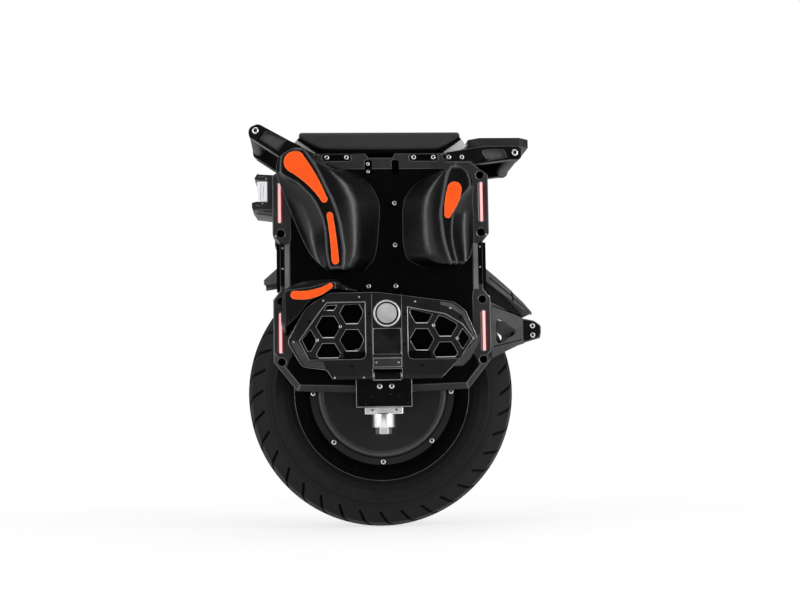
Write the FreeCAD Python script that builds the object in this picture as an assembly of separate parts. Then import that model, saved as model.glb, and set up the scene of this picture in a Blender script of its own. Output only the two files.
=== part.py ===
"""Electric unicycle with a sprung body, folding honeycomb pedals and moulded leg pads.

Millimetres. +X points to the rear, +Y to the right-hand side, +Z up.
The origin is the point on the ground under the axle. Left is -Y.
"""
import FreeCAD
import Part
import math
import os
from FreeCAD import Vector

# Clearances
SEAT_GAP = 0.2            # between pieces of one body that lie on each other
SOFT_GAP = 0.3            # between a pad and what carries it
RUN_FIT = 0.05            # radial clearance of a running or sliding fit
PRESS_FIT = 0.02          # radial clearance of a fixed round seat
BITE = 1.0                # reach of a cutter past the face that it cuts

# Wheel and motor
TYRE_RADIUS = 250.0
TYRE_BULGE = 17.0         # tyre's widest point beyond the rim's flange
TREAD_INSET = 4.0         # edge of the tread inside the tyre's widest point
TREAD_DROP = 33.0         # crown radius less shoulder radius
TREAD_CHORDS = 3          # chords of the crown on each side
TYRE_WALL = 9.0
GROOVES = 36              # on each side
GROOVE_WIDTH = 5.0
GROOVE_SINK = 5.3         # depth of a groove near the middle of the tread
GROOVE_START = 8.0        # from the middle of the tread
GROOVE_LENGTH = 50.0
GROOVE_SLANT = -38.0      # degrees
BEAD_RADIUS = 152.4
FLANGE_HEIGHT = 11.6
FLANGE_WALL = 3.5
FLANGE_ROOT = 2.0         # flange's outer face reaches this far inside the bead seat
RIM_WIDTH = 66.0          # between the flanges
RIM_DEPTH = 28.4          # bead seat to the inside of the rim
WEB_STEP = 4.0            # rim's flat side beyond the motor cover
MAGNET_DEPTH = 8.0
MAGNET_WIDTH = 52.0
STATOR_INSET = 2.0        # stator's side inside the magnets' side
AIR_GAP = 1.0
COVER_LAP = 10.5          # cover's edge beyond the inside of the rim
COVER_BOLT_INSET = 5.5
COVER_BOLTS = 8
COVER_RING = 10.0         # thickness of the bolted ring
COVER_RING_WIDTH = 18.5
COVER_STEP = 5.0          # height of the raised disc over the ring
HUB_WALL = 12.0
HUB_PROUD = 2.0
HUB_GAP = 2.0             # hub's face to the axle block
BEARING_RADIUS = 22.0
BEARING_WIDTH = 12.0
AXLE_BODY_RADIUS = 15.0
AXLE_END_RADIUS = 12.0
AXLE_CHAMFER = 1.0
AXLE_END_GAP = 0.6        # axle's end to the sleeve
VALVE_RADIUS = 4.0
VALVE_LENGTH = 12.5
VALVE_LIFT = 1.5          # valve's foot over the middle of the flange wall
VALVE_TURN = 200.0        # degrees from the top

# Suspension leg, one on each side
TRAVEL = 60.0
BLOCK_HALF_X = 34.0
BLOCK_UNDER_AXLE = 18.0
BLOCK_HEIGHT = 60.0
BLOCK_WALL = 2.1          # block's outer face beyond the sleeve
LEG_INSET = 26.0          # block's inner face to the leg's axis
LEG_GAP = 2.05            # can to the side panel
TUBE_RADIUS = 11.0
SLEEVE_WALL = 2.85
SLEEVE_REACH = 108.0      # sleeve's top over the block
CAN_WALL = 3.0
CAN_GAP = 20.0            # block's top to the can at full travel
CROWN_GAP = 2.0           # sleeve's top to the crown at full travel
CROWN_HEIGHT = 24.0
TUBE_SEAT = 18.0          # depth of the tube in the crown
STOP_GAP = 2.0            # block to the hanger's floor at rest
HANGER_FLOOR = 8.0
HANGER_FLOOR_SIDE = 4.0   # floor beyond the cap's flange
HANGER_HALF_X = 51.0
HANGER_OVER_AXLE = 79.0
HANGER_LAP = 2.0          # hanger's inner face behind the body's side face
HANGER_WALL = 13.0
HANGER_BOLT_X = 11.0
HANGER_BOLT_DROP = 20.0   # under the pedal's hinge
CAP_LENGTH = 70.0
CAP_WIDTH = 36.0
CAP_FLANGE = 12.5
CAP_RADIUS = 22.0
CAP_HEIGHT = 24.5
CAP_HEX = 27.0            # across flats
CAP_HEX_HEIGHT = 12.0

# Side frame, seen from the side
RAIL_LEG = 18.0           # rails' inner face inside the leg's axis
BODY_INSET = 50.0         # tyre beyond the body, in front and behind
WAIST_DEPTH = 13.0
RAIL_WIDTH = 34.0
WAIST_WIDTH = 19.0
GUARD_HEIGHT = 20.0
GUARD_CORNER = 42.0       # body's end to the guard's corner
GUARD_CORNER_RISE = 4.0
GUARD_BEVEL = 11.0
GUARD_BLEND = 8.0
LOWER_RISE = 57.0         # lower wide part over the axle
LOWER_HEIGHT = 114.0
WAIST_LENGTH = 119.0
UPPER_HEIGHT = 110.0
WAIST_RISE = 16.0         # height of the slopes at the waist
RAIL_CORNER = 6.0
RAIL_BLEND = 4.0
SHOULDER_RUN = 32.0
SHOULDER_RISE = 25.0
SHOULDER_LENGTH = 28.0
BAND_DROP = 13.0          # band's lower edge under the shoulder
BAND_RISE = 16.0          # band's upper edge over the shoulder
BAND_DEPTH = 10.0
BAND_INSET = 55.0         # shoulder's end to the upper part of the band
BAND_STEP = 9.0
NOTCH_TOP = 54.0
NOTCH_FOOT = 44.0
NOTCH_DEPTH = 8.0
BAND_POCKET_INSET = 32.0  # pocket's middle from the end of the upper part
BAND_POCKET_LENGTH = 55.0
BAND_POCKET_HEIGHT = 13.0
BAND_POCKET_DEPTH = 2.0
BAND_POCKET_EDGE = 1.0
BAND_SLOT_X = 25.0
BAND_SLOT_RADIUS = 4.2
BAND_SLOT_LENGTH = 14.0
BAND_SLOT_DEPTH = 5.0
PANEL_WALL = 3.0
COLUMN_HALF_X = 30.0
COLUMN_RISE = 182.0       # column cover over the axle
COLUMN_CORNER = 3.0
COLUMN_BOLT_INSET = 5.0
COLUMN_BOLT_RISES = (12.0, 88.0, 166.0)
LIGHT_INSET = 13.0        # middle of a light strip from the body's end
LIGHT_RADIUS = 4.5
LIGHT_LENGTH = 74.0
LIGHT_DEPTH = 6.0
LIGHT_SUNK = 0.8
LOWER_LIGHT_RISE = 53.0   # middle of the strip over its wide part's lower edge
UPPER_LIGHT_RISE = 60.0
POCKET_RADIUS = 7.0
POCKET_DEPTH = 12.0
POCKET_INSET = 15.0       # middle of a bolt pocket from the body's end
POCKET_EDGE = 3.0         # middle of a bolt pocket from its wide part's edge

# Inside of the body
WALL_THICK = 3.8
WALL_INSET = 3.0          # inner wall's end inside the waist
WALL_RISE = 24.0          # inner wall's foot over the axle
WALL_CORNER = 4.0
WALL_HEAD = 2.0           # inner wall's top under the shoulder
SLOT_SIDE_GAP = 8.0       # axle block to the slot in the wall
SLOT_HEAD = 74.0          # slot's top over the crown
ARCH_GAP = 8.0            # between the tyre and the arch at full travel
ARCH_WALL = 3.0
ARCH_INSET = 6.0          # arch's end inside the waist
BATTERY_SLOT_GAP = 2.0
BATTERY_RAIL_GAP = 8.0
BATTERY_DROP = 3.0        # under the lower wide part
BATTERY_HEAD = 10.0       # under the upper wide part's top
CONTROL_INSET = 18.0      # control box inside the shoulder
COVER_PLATE = 6.0         # front and rear cover
COVER_HEAD = 3.0          # cover's top under the shoulder
COVER_CORNER = 6.0
COVER_TYRE_GAP = 2.5      # under the covers, at full travel
COVER_WING_INSET = 3.0    # wing's edge inside the body's side face

# Tail light, socket and button on the rear cover
TAIL_DROP = 112.0         # under the cover's top
TAIL_HALF_Y = 36.0
TAIL_HALF_Z = 9.0
TAIL_CORNER = 6.0
TAIL_PROUD = 6.0
SOCKET_DROP = 32.0        # socket and button under the cover's top
SOCKET_Y = -24.0
SOCKET_RADIUS = 12.0
SOCKET_BORE = 8.0
SOCKET_LENGTH = 10.0
SOCKET_FLOOR = 2.0
BUTTON_Y = 24.0
BUTTON_RADIUS = 8.0
BUTTON_TRAVEL = 2.0
BUTTON_PROUD = 3.0
BEZEL_WALL = 3.0

# Headlight: points out from the front cover and up from the cover's top
LAMP_HALF_Y = 42.0
LENS_HALF_Y = 37.0
LAMP_RECESS = 17.8        # floor of the recess from the cover
LAMP_OUTLINE = (
    (0.0, -89.0), (0.0, -10.0), (36.8, -8.0, 2.0), (41.8, -16.0, 1.0), (37.8, -18.5), (LAMP_RECESS, -20.0),
    (LAMP_RECESS, -61.0), (37.8, -60.0), (46.8, -62.0, 1.0), (46.8, -71.0, 2.0), (38.8, -84.0),
)
LENS_OUTLINE = (
    (LAMP_RECESS + SEAT_GAP, -59.0), (LAMP_RECESS + SEAT_GAP, -21.0), (37.8, -21.0, 4.0), (34.8, -59.0, 4.0),
)

# Seat and the shell under it
SHELL_WALL = 3.1
SHELL_SIDE_GAP = 4.0      # shell to the handle arms
SHELL_TIP_REACH = 14.0    # shell's tip beyond the seat
SHELL_TIP_RISE = 9.0      # shell's tip over the seat's foot
SHELL_ROUND = 12.0
TRAY_WALL = 5.5
TRAY_SIDE_INSET = 5.0
TRAY_ROUND = 10.0
SEAT_HEIGHT = 35.0
SEAT_EDGE_RISE = 23.0
SEAT_INSET = 18.0         # seat's end inside the shoulder
SEAT_FOOT_INSET = 40.0
SEAT_SIDE_INSET = 5.0
SEAT_CROWN_INSET = 9.0
SEAT_FOOT_ROUND = 14.0
SEAT_ROUND = 3.0

# Handles: points out from the shoulder's end and up from the shoulder
ARM_SUNK = 2.0            # arm's face behind the body's side face
ARM_WALL = 12.0
ARM_PANEL_DEPTH = 6.0
ARM_ROOT_GAP = 1.0        # arm's root to the band
ARM_RAIL_GAP = 0.75       # arm's underside to the rail's slope
BAR_RADIUS = 12.5
FRONT_REACH = 62.0
FRONT_RISE = 60.0
FRONT_TIP_RADIUS = 13.0
FRONT_ROOT_RISE = 17.0
FRONT_ROOT_REACH = 4.0
FRONT_ARM_TOP = ((-13.0, 36.0, 10.0), (-2.0, 41.0))
FRONT_ARM_UNDER = (16.0, 9.0, 8.0)
FRONT_ARM_PANEL = ((42.0, 60.0, 3.0), (6.0, 44.0, 3.0), (21.0, 22.0, 3.0), (53.0, 44.0, 3.0))
REAR_REACH = 84.0
REAR_RISE = 17.0
REAR_TIP_RADIUS = 13.5
REAR_ROOT_RISE = 18.5
REAR_ROOT_REACH = 8.0
REAR_ARM_TOP = (13.0, 28.0, 6.0)
REAR_ARM_SEAT = 32.0      # start of the grip plate's seat
REAR_ARM_UNDER = (36.0, -1.5, 6.0)
REAR_ARM_PANEL = ((22.0, 21.0, 3.0), (62.0, 23.0, 3.0), (70.0, 9.0, 3.0), (33.0, 3.5, 3.0))
REAR_ROOT_BOLTS = ((-40.0, 9.0), (-15.5, 9.0))
TIP_BOLT_RADIUS = 6.5
GRIP_PLATE_ROOT = 1.0     # plate's front edge inside the shoulder
GRIP_PLATE_REACH = 29.0   # plate beyond the bar's axis
GRIP_PLATE_THICK = 16.0
GRIP_PLATE_SIDE_INSET = 6.0
GRIP_PLATE_CORNER = 18.0

# Rear guard: points out from the body's end and up from the axle
GUARD_ARM_FOOT = (59.0, 163.0)
GUARD_ARM_OUTLINE = ((59.0, 86.0), (91.0, 95.0, 4.0), (93.0, 106.0, 6.0), (93.0, 118.0, 6.0),
                     (81.0, 127.0, 4.0), (58.0, 132.0))
GUARD_ARM_OPENING = ((9.2, 81.0, 6.0), (46.0, 103.0, 6.0), (46.0, 111.0, 6.0), (9.2, 136.0, 6.0))
GUARD_BOLTS = ((77.0, 117.5), (77.0, 100.5))
GUARD_BAR_REACH = 66.0
GUARD_BAR_DEPTH = 22.0
GUARD_BAR_RISE = 99.0
GUARD_BAR_HEIGHT = 20.0
GUARD_BAR_ROUND = 5.0

# Mudguards
MUD_SIDE_GAP = 5.0        # tyre to the side skirt
MUD_WALL = 3.0
MUD_LAP = 4.0             # height of the roots over the covers' lower edge
FRONT_MUD_REACH = 24.6
FRONT_MUD_DROP = 21.7
FRONT_SKIRTS = (28.0, 10.0)
REAR_MUD_TURN = (0.0, 0.3, 0.6)    # share of the turn from the cover to the flap's end
REAR_SKIRTS = (26.0, 24.0, 20.0)
FLAP_TURN = (0.6, 0.82, 1.0)
FLAP_SKIRTS = (18.0, 15.0, 6.0)
FLAP_STEP = 1.5
FLAP_REACH = 83.0         # flap's end beyond the body
FLAP_OVER_BAR = 27.0      # flap's end over the guard bar
MUD_SPREAD = 1.4          # growth of the gap to the tyre along the rear mudguard

# Leg pads, with ridge and rim measured from the body's side face
FRONT_PAD_RISE = 55.0
REAR_PAD_RISE = 50.0
LOWER_PAD_RISE = 34.0
PAD_LIP = 2.0
PAD_LEAN = 6.0            # rim's foot drawn in under the rim
PAD_BULGE = 4.0           # slope's bulge
PAD_SCOOP = 7.0           # deepest scoop between ridge and rim
PAD_SCOOP_SHARE = 0.18    # scoop for each millimetre of its width
LOWER_PAD_SAG = 4.0
LOWER_PAD_SAG_SHARE = 0.3
INSERT_THICK = 2.0

# Upper front pad: level over the axle, then X of slope's foot, crest, dip and rim, and the rim's drop
FRONT_PAD_SECTIONS = (
    (220.0, -34.0, -73.0, -97.0, -103.0, 15.0),
    (250.0, -12.0, -71.0, -102.0, -131.0, 27.0),
    (295.0, -5.0, -76.0, -105.0, -153.0, 31.0),
    (340.0, -2.0, -88.0, -120.0, -171.0, 29.0),
    (375.0, -14.0, -104.0, -150.0, -184.0, 23.0),
    (400.0, -42.0, -116.0, -184.0, -192.0, 13.0),
    (425.0, -104.0, -131.0, -182.0, -188.0, 11.0),
    (443.0, -136.0, -143.0, -160.0, -164.0, 9.0),
)

# Rear pad: the same, with the slope towards the front
REAR_PAD_SECTIONS = (
    (228.0, 72.0, 124.0, 137.0, 147.0, 22.0),
    (248.0, 45.0, 117.0, 131.0, 163.0, 26.0),
    (285.0, 39.0, 109.0, 126.0, 170.0, 28.0),
    (321.0, 39.0, 106.0, 129.0, 170.0, 26.0),
    (350.0, 42.0, 110.0, 144.0, 168.0, 20.0),
    (375.0, 57.0, 115.0, 161.0, 169.0, 12.0),
    (395.0, 82.0, 120.0, 157.0, 163.0, 10.0),
    (410.0, 121.0, 127.0, 142.0, 146.0, 8.0),
)

# Lower pad: X from the pedal's middle, then foot, ridge from, ridge to and top over the hinge, and the ridge
LOWER_PAD_SECTIONS = (
    (-192.0, 94.0, 102.0, 128.0, 134.0, 12.0),
    (-183.0, 74.0, 92.0, 154.0, 160.0, LOWER_PAD_RISE),
    (-166.0, 98.0, 103.0, 158.0, 169.0, LOWER_PAD_RISE),
    (-139.0, 132.0, 135.0, 161.0, 176.0, LOWER_PAD_RISE),
    (-116.0, 148.0, 150.0, 167.0, 177.0, LOWER_PAD_RISE),
    (-96.0, 154.5, 156.5, 170.0, 178.0, LOWER_PAD_RISE),
    (-72.0, 154.5, 157.0, 161.0, 164.5, 8.0),
    (-52.0, 154.5, 155.2, 156.2, 157.0, 2.0),
)

# Orange inserts: ends and middles of arcs in turn, X and level over the axle
TEARDROP = ((-167.0, 398.0), (-176.0, 422.0), (-154.0, 435.0), (-147.0, 433.0), (-142.0, 428.0),
            (-120.0, 393.0), (-101.0, 352.0), (-101.0, 343.0), (-109.0, 342.0), (-134.0, 373.0))
RIDGE_BAR = ((-101.0, 317.0), (-96.0, 324.0), (-90.0, 319.0), (-84.0, 278.0), (-80.0, 236.0), (-86.0, 229.0),
             (-93.0, 235.0), (-96.0, 278.0))
REAR_DROP = ((119.0, 367.0), (132.0, 379.0), (145.0, 367.0), (139.0, 342.0), (125.0, 319.0), (118.0, 312.0),
             (113.0, 322.0), (114.0, 346.0))

# Insert of the lower pad: the same, from the pedal's middle and hinge
LOWER_STRIP = ((-168.0, 139.0), (-174.0, 147.0), (-168.0, 154.0), (-138.0, 155.0), (-107.0, 165.0),
               (-98.0, 165.0), (-101.0, 157.0), (-135.0, 140.0))

# Pedal, folded up against the side: points from the pedal's middle and hinge
PEDAL_X = 6.0             # middle of the spine
PEDAL_GAP = 2.5           # hanger to the pedal
PEDAL_THICK = 16.0
HINGE_RISE = 30.0         # over the axle
PIN_RADIUS = 4.0
PIN_HALF = 66.0
KNUCKLE_HALF = 25.0
KNUCKLE_GAP = 1.5
KNUCKLE_HEAD = 3.0        # pedal's notch over the knuckle
PEDAL_FOOT_X = (-99.0, 97.0)
PEDAL_OUTLINE = (
    (-110.0, 10.0, 8.0), (-154.0, 16.0, 16.0), (-181.0, 62.0, 16.0), (-148.0, 122.0, 40.0),
    (-106.0, 150.0, 30.0), (-16.0, 150.5, 60.0), (122.0, 132.0, 20.0), (144.0, 116.0, 20.0),
    (166.0, 63.0, 14.0), (129.0, 25.0, 10.0),
)
WING_LEFT = ((-124.0, 113.0), (-108.5, 132.5), (-39.0, 133.0), (-39.0, 29.0), (-142.0, 29.0), (-159.0, 64.0))
WING_RIGHT = ((38.0, 123.0), (106.0, 110.0), (138.0, 91.0), (157.0, 65.0), (132.0, 28.0), (38.0, 28.0))
WING_DEPTH = 4.0
CELL_FLATS = 38.0
CELL_PITCH = 49.5
CELL_RISE = 64.0          # first row of cells over the hinge
CELL_OFFSET = 63.5        # first column of cells from the pedal's middle
CELL_COLUMNS = 3
CELL_RIM = 4.0            # cells to the wing's edge
CELL_SHARE = 0.08         # smaller remains of a cell stay closed
MAGNET_LENGTH = 52.0
MAGNET_HEIGHT = 17.0
MAGNET_SUNK = 2.5
MAGNET_PROUD = 0.5
MAGNET_RISE = 22.5
SPINE_RECESS_WIDTH = 50.0
SPINE_RECESS_FROM = 38.0
SPINE_RECESS_TO = 84.0
SPINE_RECESS_DEPTH = 3.0
DISC_RADIUS = 24.0
DISC_RISE = 112.0
DISC_PROUD = 0.8

# Bolt heads and small rounds
BOLT_HEAD_RADIUS = 5.0
SMALL_HEAD_RADIUS = 4.5
BOLT_HEAD_HEIGHT = 3.0
HEAD_SIDES = 8            # flats that stand for a small round head
ROUND_SIDES = 12          # flats that stand for a small round pocket or slot end

# Derived places: wheel and leg, from the middle outwards
AXLE_Z = TYRE_RADIUS
RIM_HALF = RIM_WIDTH / 2.0
TYRE_HALF = RIM_HALF + TYRE_BULGE
TREAD_HALF = TYRE_HALF - TREAD_INSET
DRUM_RADIUS = BEAD_RADIUS - RIM_DEPTH
COVER_RADIUS = DRUM_RADIUS + COVER_LAP
COVER_FACE = RIM_HALF + COVER_RING + COVER_STEP
HUB_FACE = COVER_FACE + HUB_PROUD
BLOCK_INNER_Y = HUB_FACE + HUB_GAP
LEG_Y = BLOCK_INNER_Y + LEG_INSET
SLEEVE_RADIUS = TUBE_RADIUS + RUN_FIT + SLEEVE_WALL
CAN_BORE = SLEEVE_RADIUS + RUN_FIT
CAN_RADIUS = CAN_BORE + CAN_WALL
BLOCK_OUTER_Y = LEG_Y + SLEEVE_RADIUS + BLOCK_WALL
RAIL_INNER_Y = LEG_Y - RAIL_LEG
WALL_OUTER_Y = RAIL_INNER_Y - SEAT_GAP
WALL_INNER_Y = WALL_OUTER_Y - WALL_THICK
PANEL_INNER_Y = LEG_Y + CAN_RADIUS + LEG_GAP
FACE_Y = PANEL_INNER_Y + PANEL_WALL
PAD_FOOT = FACE_Y + SOFT_GAP
HANGER_INNER_Y = FACE_Y - HANGER_LAP
HANGER_OUTER_Y = HANGER_INNER_Y + HANGER_WALL
PEDAL_INNER_Y = HANGER_OUTER_Y + PEDAL_GAP
PEDAL_OUTER_Y = PEDAL_INNER_Y + PEDAL_THICK
HINGE_RADIUS = PEDAL_THICK / 2.0
HINGE_Y = PEDAL_INNER_Y + HINGE_RADIUS
ARM_OUTER_Y = FACE_Y - ARM_SUNK
ARM_INNER_Y = ARM_OUTER_Y - ARM_WALL

# Derived places: levels
BLOCK_BOTTOM = AXLE_Z - BLOCK_UNDER_AXLE
BLOCK_TOP = BLOCK_BOTTOM + BLOCK_HEIGHT
HANGER_BOTTOM = BLOCK_BOTTOM - STOP_GAP - HANGER_FLOOR
HANGER_TOP = AXLE_Z + HANGER_OVER_AXLE
CAP_FLANGE_Z = HANGER_BOTTOM - CAP_FLANGE
TUBE_BOTTOM = CAP_FLANGE_Z - CAP_HEIGHT / 2.0
SLEEVE_TOP = BLOCK_TOP + SLEEVE_REACH
CAN_BOTTOM = BLOCK_TOP + TRAVEL + CAN_GAP
CROWN_BOTTOM = SLEEVE_TOP + TRAVEL + CROWN_GAP
CROWN_TOP = CROWN_BOTTOM + CROWN_HEIGHT
GUARD_Z = AXLE_Z
LOWER_BOTTOM = AXLE_Z + LOWER_RISE
LOWER_TOP = LOWER_BOTTOM + LOWER_HEIGHT
UPPER_BOTTOM = LOWER_TOP + WAIST_LENGTH
UPPER_TOP = UPPER_BOTTOM + UPPER_HEIGHT
SHOULDER_Z = UPPER_TOP + SHOULDER_RISE
BAND_BOTTOM = SHOULDER_Z - BAND_DROP
BAND_TOP = SHOULDER_Z + BAND_RISE
COLUMN_BOTTOM = AXLE_Z + COLUMN_RISE
COVER_TOP = SHOULDER_Z - COVER_HEAD
SOCKET_Z = COVER_TOP - SOCKET_DROP
SHELL_FLOOR = BAND_TOP + SEAT_GAP
SEAT_BOTTOM = SHELL_FLOOR + SHELL_WALL + SEAT_GAP + TRAY_WALL
SEAT_TOP = SEAT_BOTTOM + SEAT_HEIGHT
SEAT_EDGE_Z = SEAT_BOTTOM + SEAT_EDGE_RISE
HINGE_Z = AXLE_Z + HINGE_RISE
RAISED_AXLE_Z = AXLE_Z + TRAVEL

# Derived places: along the body
BODY_HALF_X = TYRE_RADIUS - BODY_INSET
WAIST_HALF_X = BODY_HALF_X - WAIST_DEPTH
RAIL_INNER_X = BODY_HALF_X - RAIL_WIDTH
WAIST_INNER_X = WAIST_HALF_X - WAIST_WIDTH
GUARD_CORNER_X = BODY_HALF_X - GUARD_CORNER
SHOULDER_X = BODY_HALF_X - SHOULDER_RUN
BAND_END_X = SHOULDER_X - SHOULDER_LENGTH
BAND_HALF_X = SHOULDER_X - BAND_INSET
ARM_ROOT_X = BAND_HALF_X + BAND_STEP + ARM_ROOT_GAP
FOOT_X = HANGER_HALF_X + SEAT_GAP
WALL_SLOT_X = BLOCK_HALF_X + SLOT_SIDE_GAP
COVER_NEAR_X = WAIST_HALF_X + SEAT_GAP
COVER_FAR_X = COVER_NEAR_X + COVER_PLATE
SEAT_HALF_X = SHOULDER_X - SEAT_INSET
SEAT_HALF_Y = FACE_Y - SEAT_SIDE_INSET
COVER_BOTTOM = RAISED_AXLE_Z + math.sqrt((TYRE_RADIUS + COVER_TYRE_GAP) ** 2 - WAIST_HALF_X ** 2)


def save(name, *solids):
    """Writes one node, made of one or more separate solids."""
    shape = solids[0] if len(solids) == 1 else Part.makeCompound(list(solids))
    shape.exportStep("parts/" + name + ".step")


def mirrored(shape):
    """The same piece on the other side of the wheel plane."""
    return shape.mirror(Vector(0, 0, 0), Vector(0, 1, 0))


def both(shapes):
    """Left pieces with their mirror images."""
    return shapes + [mirrored(shape) for shape in shapes]


def placed(points, x, z, side=1):
    """Outline points moved to x, z; side -1 turns them round to the front."""
    return [(x + side * point[0], z + point[1]) + tuple(point[2:]) for point in points]


def symmetric(half):
    """Closed outline from its right half, mirrored about the first coordinate."""
    return half + [(-point[0],) + tuple(point[1:]) for point in reversed(half)]


def rounded_wire(corners, place):
    """Closed wire through corners (u, v) or (u, v, radius); place puts (u, v) in space."""
    count = len(corners)
    starts = []
    ends = []
    mids = []
    for index, corner in enumerate(corners):
        here = Vector(corner[0], corner[1], 0)
        radius = corner[2] if len(corner) > 2 else 0.0
        before = corners[index - 1]
        after = corners[(index + 1) % count]
        to_before = Vector(before[0], before[1], 0).sub(here).normalize()
        to_after = Vector(after[0], after[1], 0).sub(here).normalize()
        half = to_before.getAngle(to_after) / 2.0
        if radius <= 0.0:
            starts.append(here)
            ends.append(here)
            mids.append(None)
            continue
        reach = radius / math.tan(half)
        middle = to_before.add(to_after).normalize()
        depth = radius / math.sin(half) - radius
        starts.append(here.add(to_before * reach))
        ends.append(here.add(to_after * reach))
        mids.append(here.add(middle * depth))
    edges = []
    for index in range(count):
        if mids[index] is not None:
            arc = Part.Arc(place(starts[index]), place(mids[index]), place(ends[index]))
            edges.append(arc.toShape())
        start = place(ends[index])
        end = place(starts[(index + 1) % count])
        if start.distanceToPoint(end) > 1e-6:
            edges.append(Part.LineSegment(start, end).toShape())
    return Part.Wire(Part.__sortEdges__(edges))


def plate(corners, y_from, y_to):
    """Plate with an outline in X and Z, between two Y."""
    wire = rounded_wire(corners, lambda p: Vector(p.x, y_from, p.y))
    return Part.Face(wire).extrude(Vector(0, y_to - y_from, 0))


def slab(corners, z_from, z_to):
    """Plate with an outline in X and Y, between two Z."""
    wire = rounded_wire(corners, lambda p: Vector(p.x, p.y, z_from))
    return Part.Face(wire).extrude(Vector(0, 0, z_to - z_from))


def board(corners, x_from, x_to):
    """Plate with an outline in Y and Z, between two X."""
    wire = rounded_wire(corners, lambda p: Vector(x_from, p.x, p.y))
    return Part.Face(wire).extrude(Vector(x_to - x_from, 0, 0))


def block(x_from, x_to, y_from, y_to, z_from, z_to):
    """Box between two opposite corners."""
    corner = Vector(min(x_from, x_to), min(y_from, y_to), min(z_from, z_to))
    return Part.makeBox(abs(x_to - x_from), abs(y_to - y_from), abs(z_to - z_from), corner)


def rod(radius, start, end):
    """Cylinder from one point to another."""
    axis = Vector(*end).sub(Vector(*start))
    return Part.makeCylinder(radius, axis.Length, Vector(*start), axis)


def upright(radius, z_from, z_to):
    """Cylinder on the left leg's axis."""
    return rod(radius, (0, -LEG_Y, z_from), (0, -LEG_Y, z_to))


def pipe(outer, inner, z_from, z_to):
    """Tube on the left leg's axis."""
    return upright(outer, z_from, z_to).cut(upright(inner, z_from - BITE, z_to + BITE))


def across(radius, y_from, y_to, x, z):
    """Cylinder along Y."""
    return rod(radius, (x, y_from, z), (x, y_to, z))


def along(radius, x_from, x_to, y, z):
    """Cylinder along X."""
    return rod(radius, (x_from, y, z), (x_to, y, z))


def hexagon(x, y, flats):
    """Corners of a hexagon with two corners level with its middle."""
    corner = flats / math.sqrt(3.0)
    angles = [math.radians(60.0 * index) for index in range(6)]
    return [(x + corner * math.cos(angle), y + corner * math.sin(angle)) for angle in angles]


def ring(x, z, radius, sides):
    """Corners of a small round in X and Z, with the flats touching the circle from outside."""
    reach = radius / math.cos(math.pi / sides)
    angles = [2.0 * math.pi * (index + 0.5) / sides for index in range(sides)]
    return [(x + reach * math.cos(angle), z + reach * math.sin(angle)) for angle in angles]


def capsule(x, z, length, radius, y_from, y_to):
    """Upright slot shape with round ends, centred on x, z."""
    half = length / 2.0 - radius
    corners = ring(x, z, radius, ROUND_SIDES)
    return plate([(px, pz + (half if pz > z else -half)) for px, pz in corners], y_from, y_to)


def flat_capsule(x, z, length, height, y_from, y_to):
    """Level slot shape with round ends, centred on x, z."""
    half = length / 2.0 - height / 2.0
    corners = ring(x, z, height / 2.0, ROUND_SIDES)
    return plate([(px + (half if px > x else -half), pz) for px, pz in corners], y_from, y_to)


def turned(corners):
    """Ring turned about the axle, from corners (y, radius)."""
    wire = rounded_wire(corners, lambda p: Vector(0, p.x, AXLE_Z + p.y))
    return Part.Face(wire).revolve(Vector(0, 0, AXLE_Z), Vector(0, 1, 0), 360)


def bolt_head(x, z, y_face, radius):
    """Round head on the left side, standing on the plane y = -y_face."""
    return plate(ring(x, z, radius, HEAD_SIDES), -y_face, -y_face - BOLT_HEAD_HEIGHT)


# Wheel

def tyre_corners():
    """Section of the tyre: chords of a round crown, bulged side walls, beads inside the flanges."""
    shoulder = TYRE_RADIUS - TREAD_DROP
    flange = BEAD_RADIUS + FLANGE_HEIGHT + SEAT_GAP
    bead = RIM_HALF - SEAT_GAP
    seat = BEAD_RADIUS + SEAT_GAP
    crown = (TREAD_HALF ** 2 + TREAD_DROP ** 2) / (2.0 * TREAD_DROP)
    right = []
    for step in range(TREAD_CHORDS):
        y = TREAD_HALF * (step + 0.35) / (TREAD_CHORDS - 0.65)
        right.append((y, TYRE_RADIUS - crown + math.sqrt(crown ** 2 - y ** 2)))
    right.append((TYRE_HALF, shoulder - (shoulder - flange) * 0.35))
    right.append((bead + FLANGE_WALL, flange))
    right.append((bead, flange))
    right.append((bead, seat))
    right.append((bead - TYRE_WALL, seat))
    right.append((TREAD_HALF - TYRE_WALL, shoulder - TYRE_WALL))
    return symmetric(right)


def groove_blades():
    """Blades for the slanted grooves; the left row stands half a pitch on from the right row."""
    lean = math.degrees(math.atan2(TREAD_DROP, TREAD_HALF))
    blade = block(-GROOVE_WIDTH / 2.0, GROOVE_WIDTH / 2.0, 0.0, GROOVE_LENGTH, 0.0, TREAD_DROP)
    blade.rotate(Vector(0, 0, 0), Vector(1, 0, 0), -lean)
    blade.rotate(Vector(0, 0, 0), Vector(0, 0, 1), GROOVE_SLANT)
    blade.translate(Vector(0, GROOVE_START, AXLE_Z + TYRE_RADIUS - GROOVE_SINK))
    other = mirrored(blade)
    pitch = 360.0 / GROOVES
    blades = []
    for index in range(GROOVES):
        for shape, share in ((blade, 0.0), (other, 0.5)):
            copy = shape.copy()
            copy.rotate(Vector(0, 0, AXLE_Z), Vector(0, 1, 0), pitch * (index + share))
            blades.append(copy)
    return blades


def make_tyre():
    return turned(tyre_corners()).cut(groove_blades())


def make_rim():
    flange = BEAD_RADIUS + FLANGE_HEIGHT
    outer = RIM_HALF + FLANGE_WALL
    half = [(RIM_HALF, BEAD_RADIUS), (RIM_HALF, flange), (outer, flange), (outer, BEAD_RADIUS - FLANGE_ROOT),
            (RIM_HALF, COVER_RADIUS + WEB_STEP), (RIM_HALF, DRUM_RADIUS)]
    return turned(symmetric(half))


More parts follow.
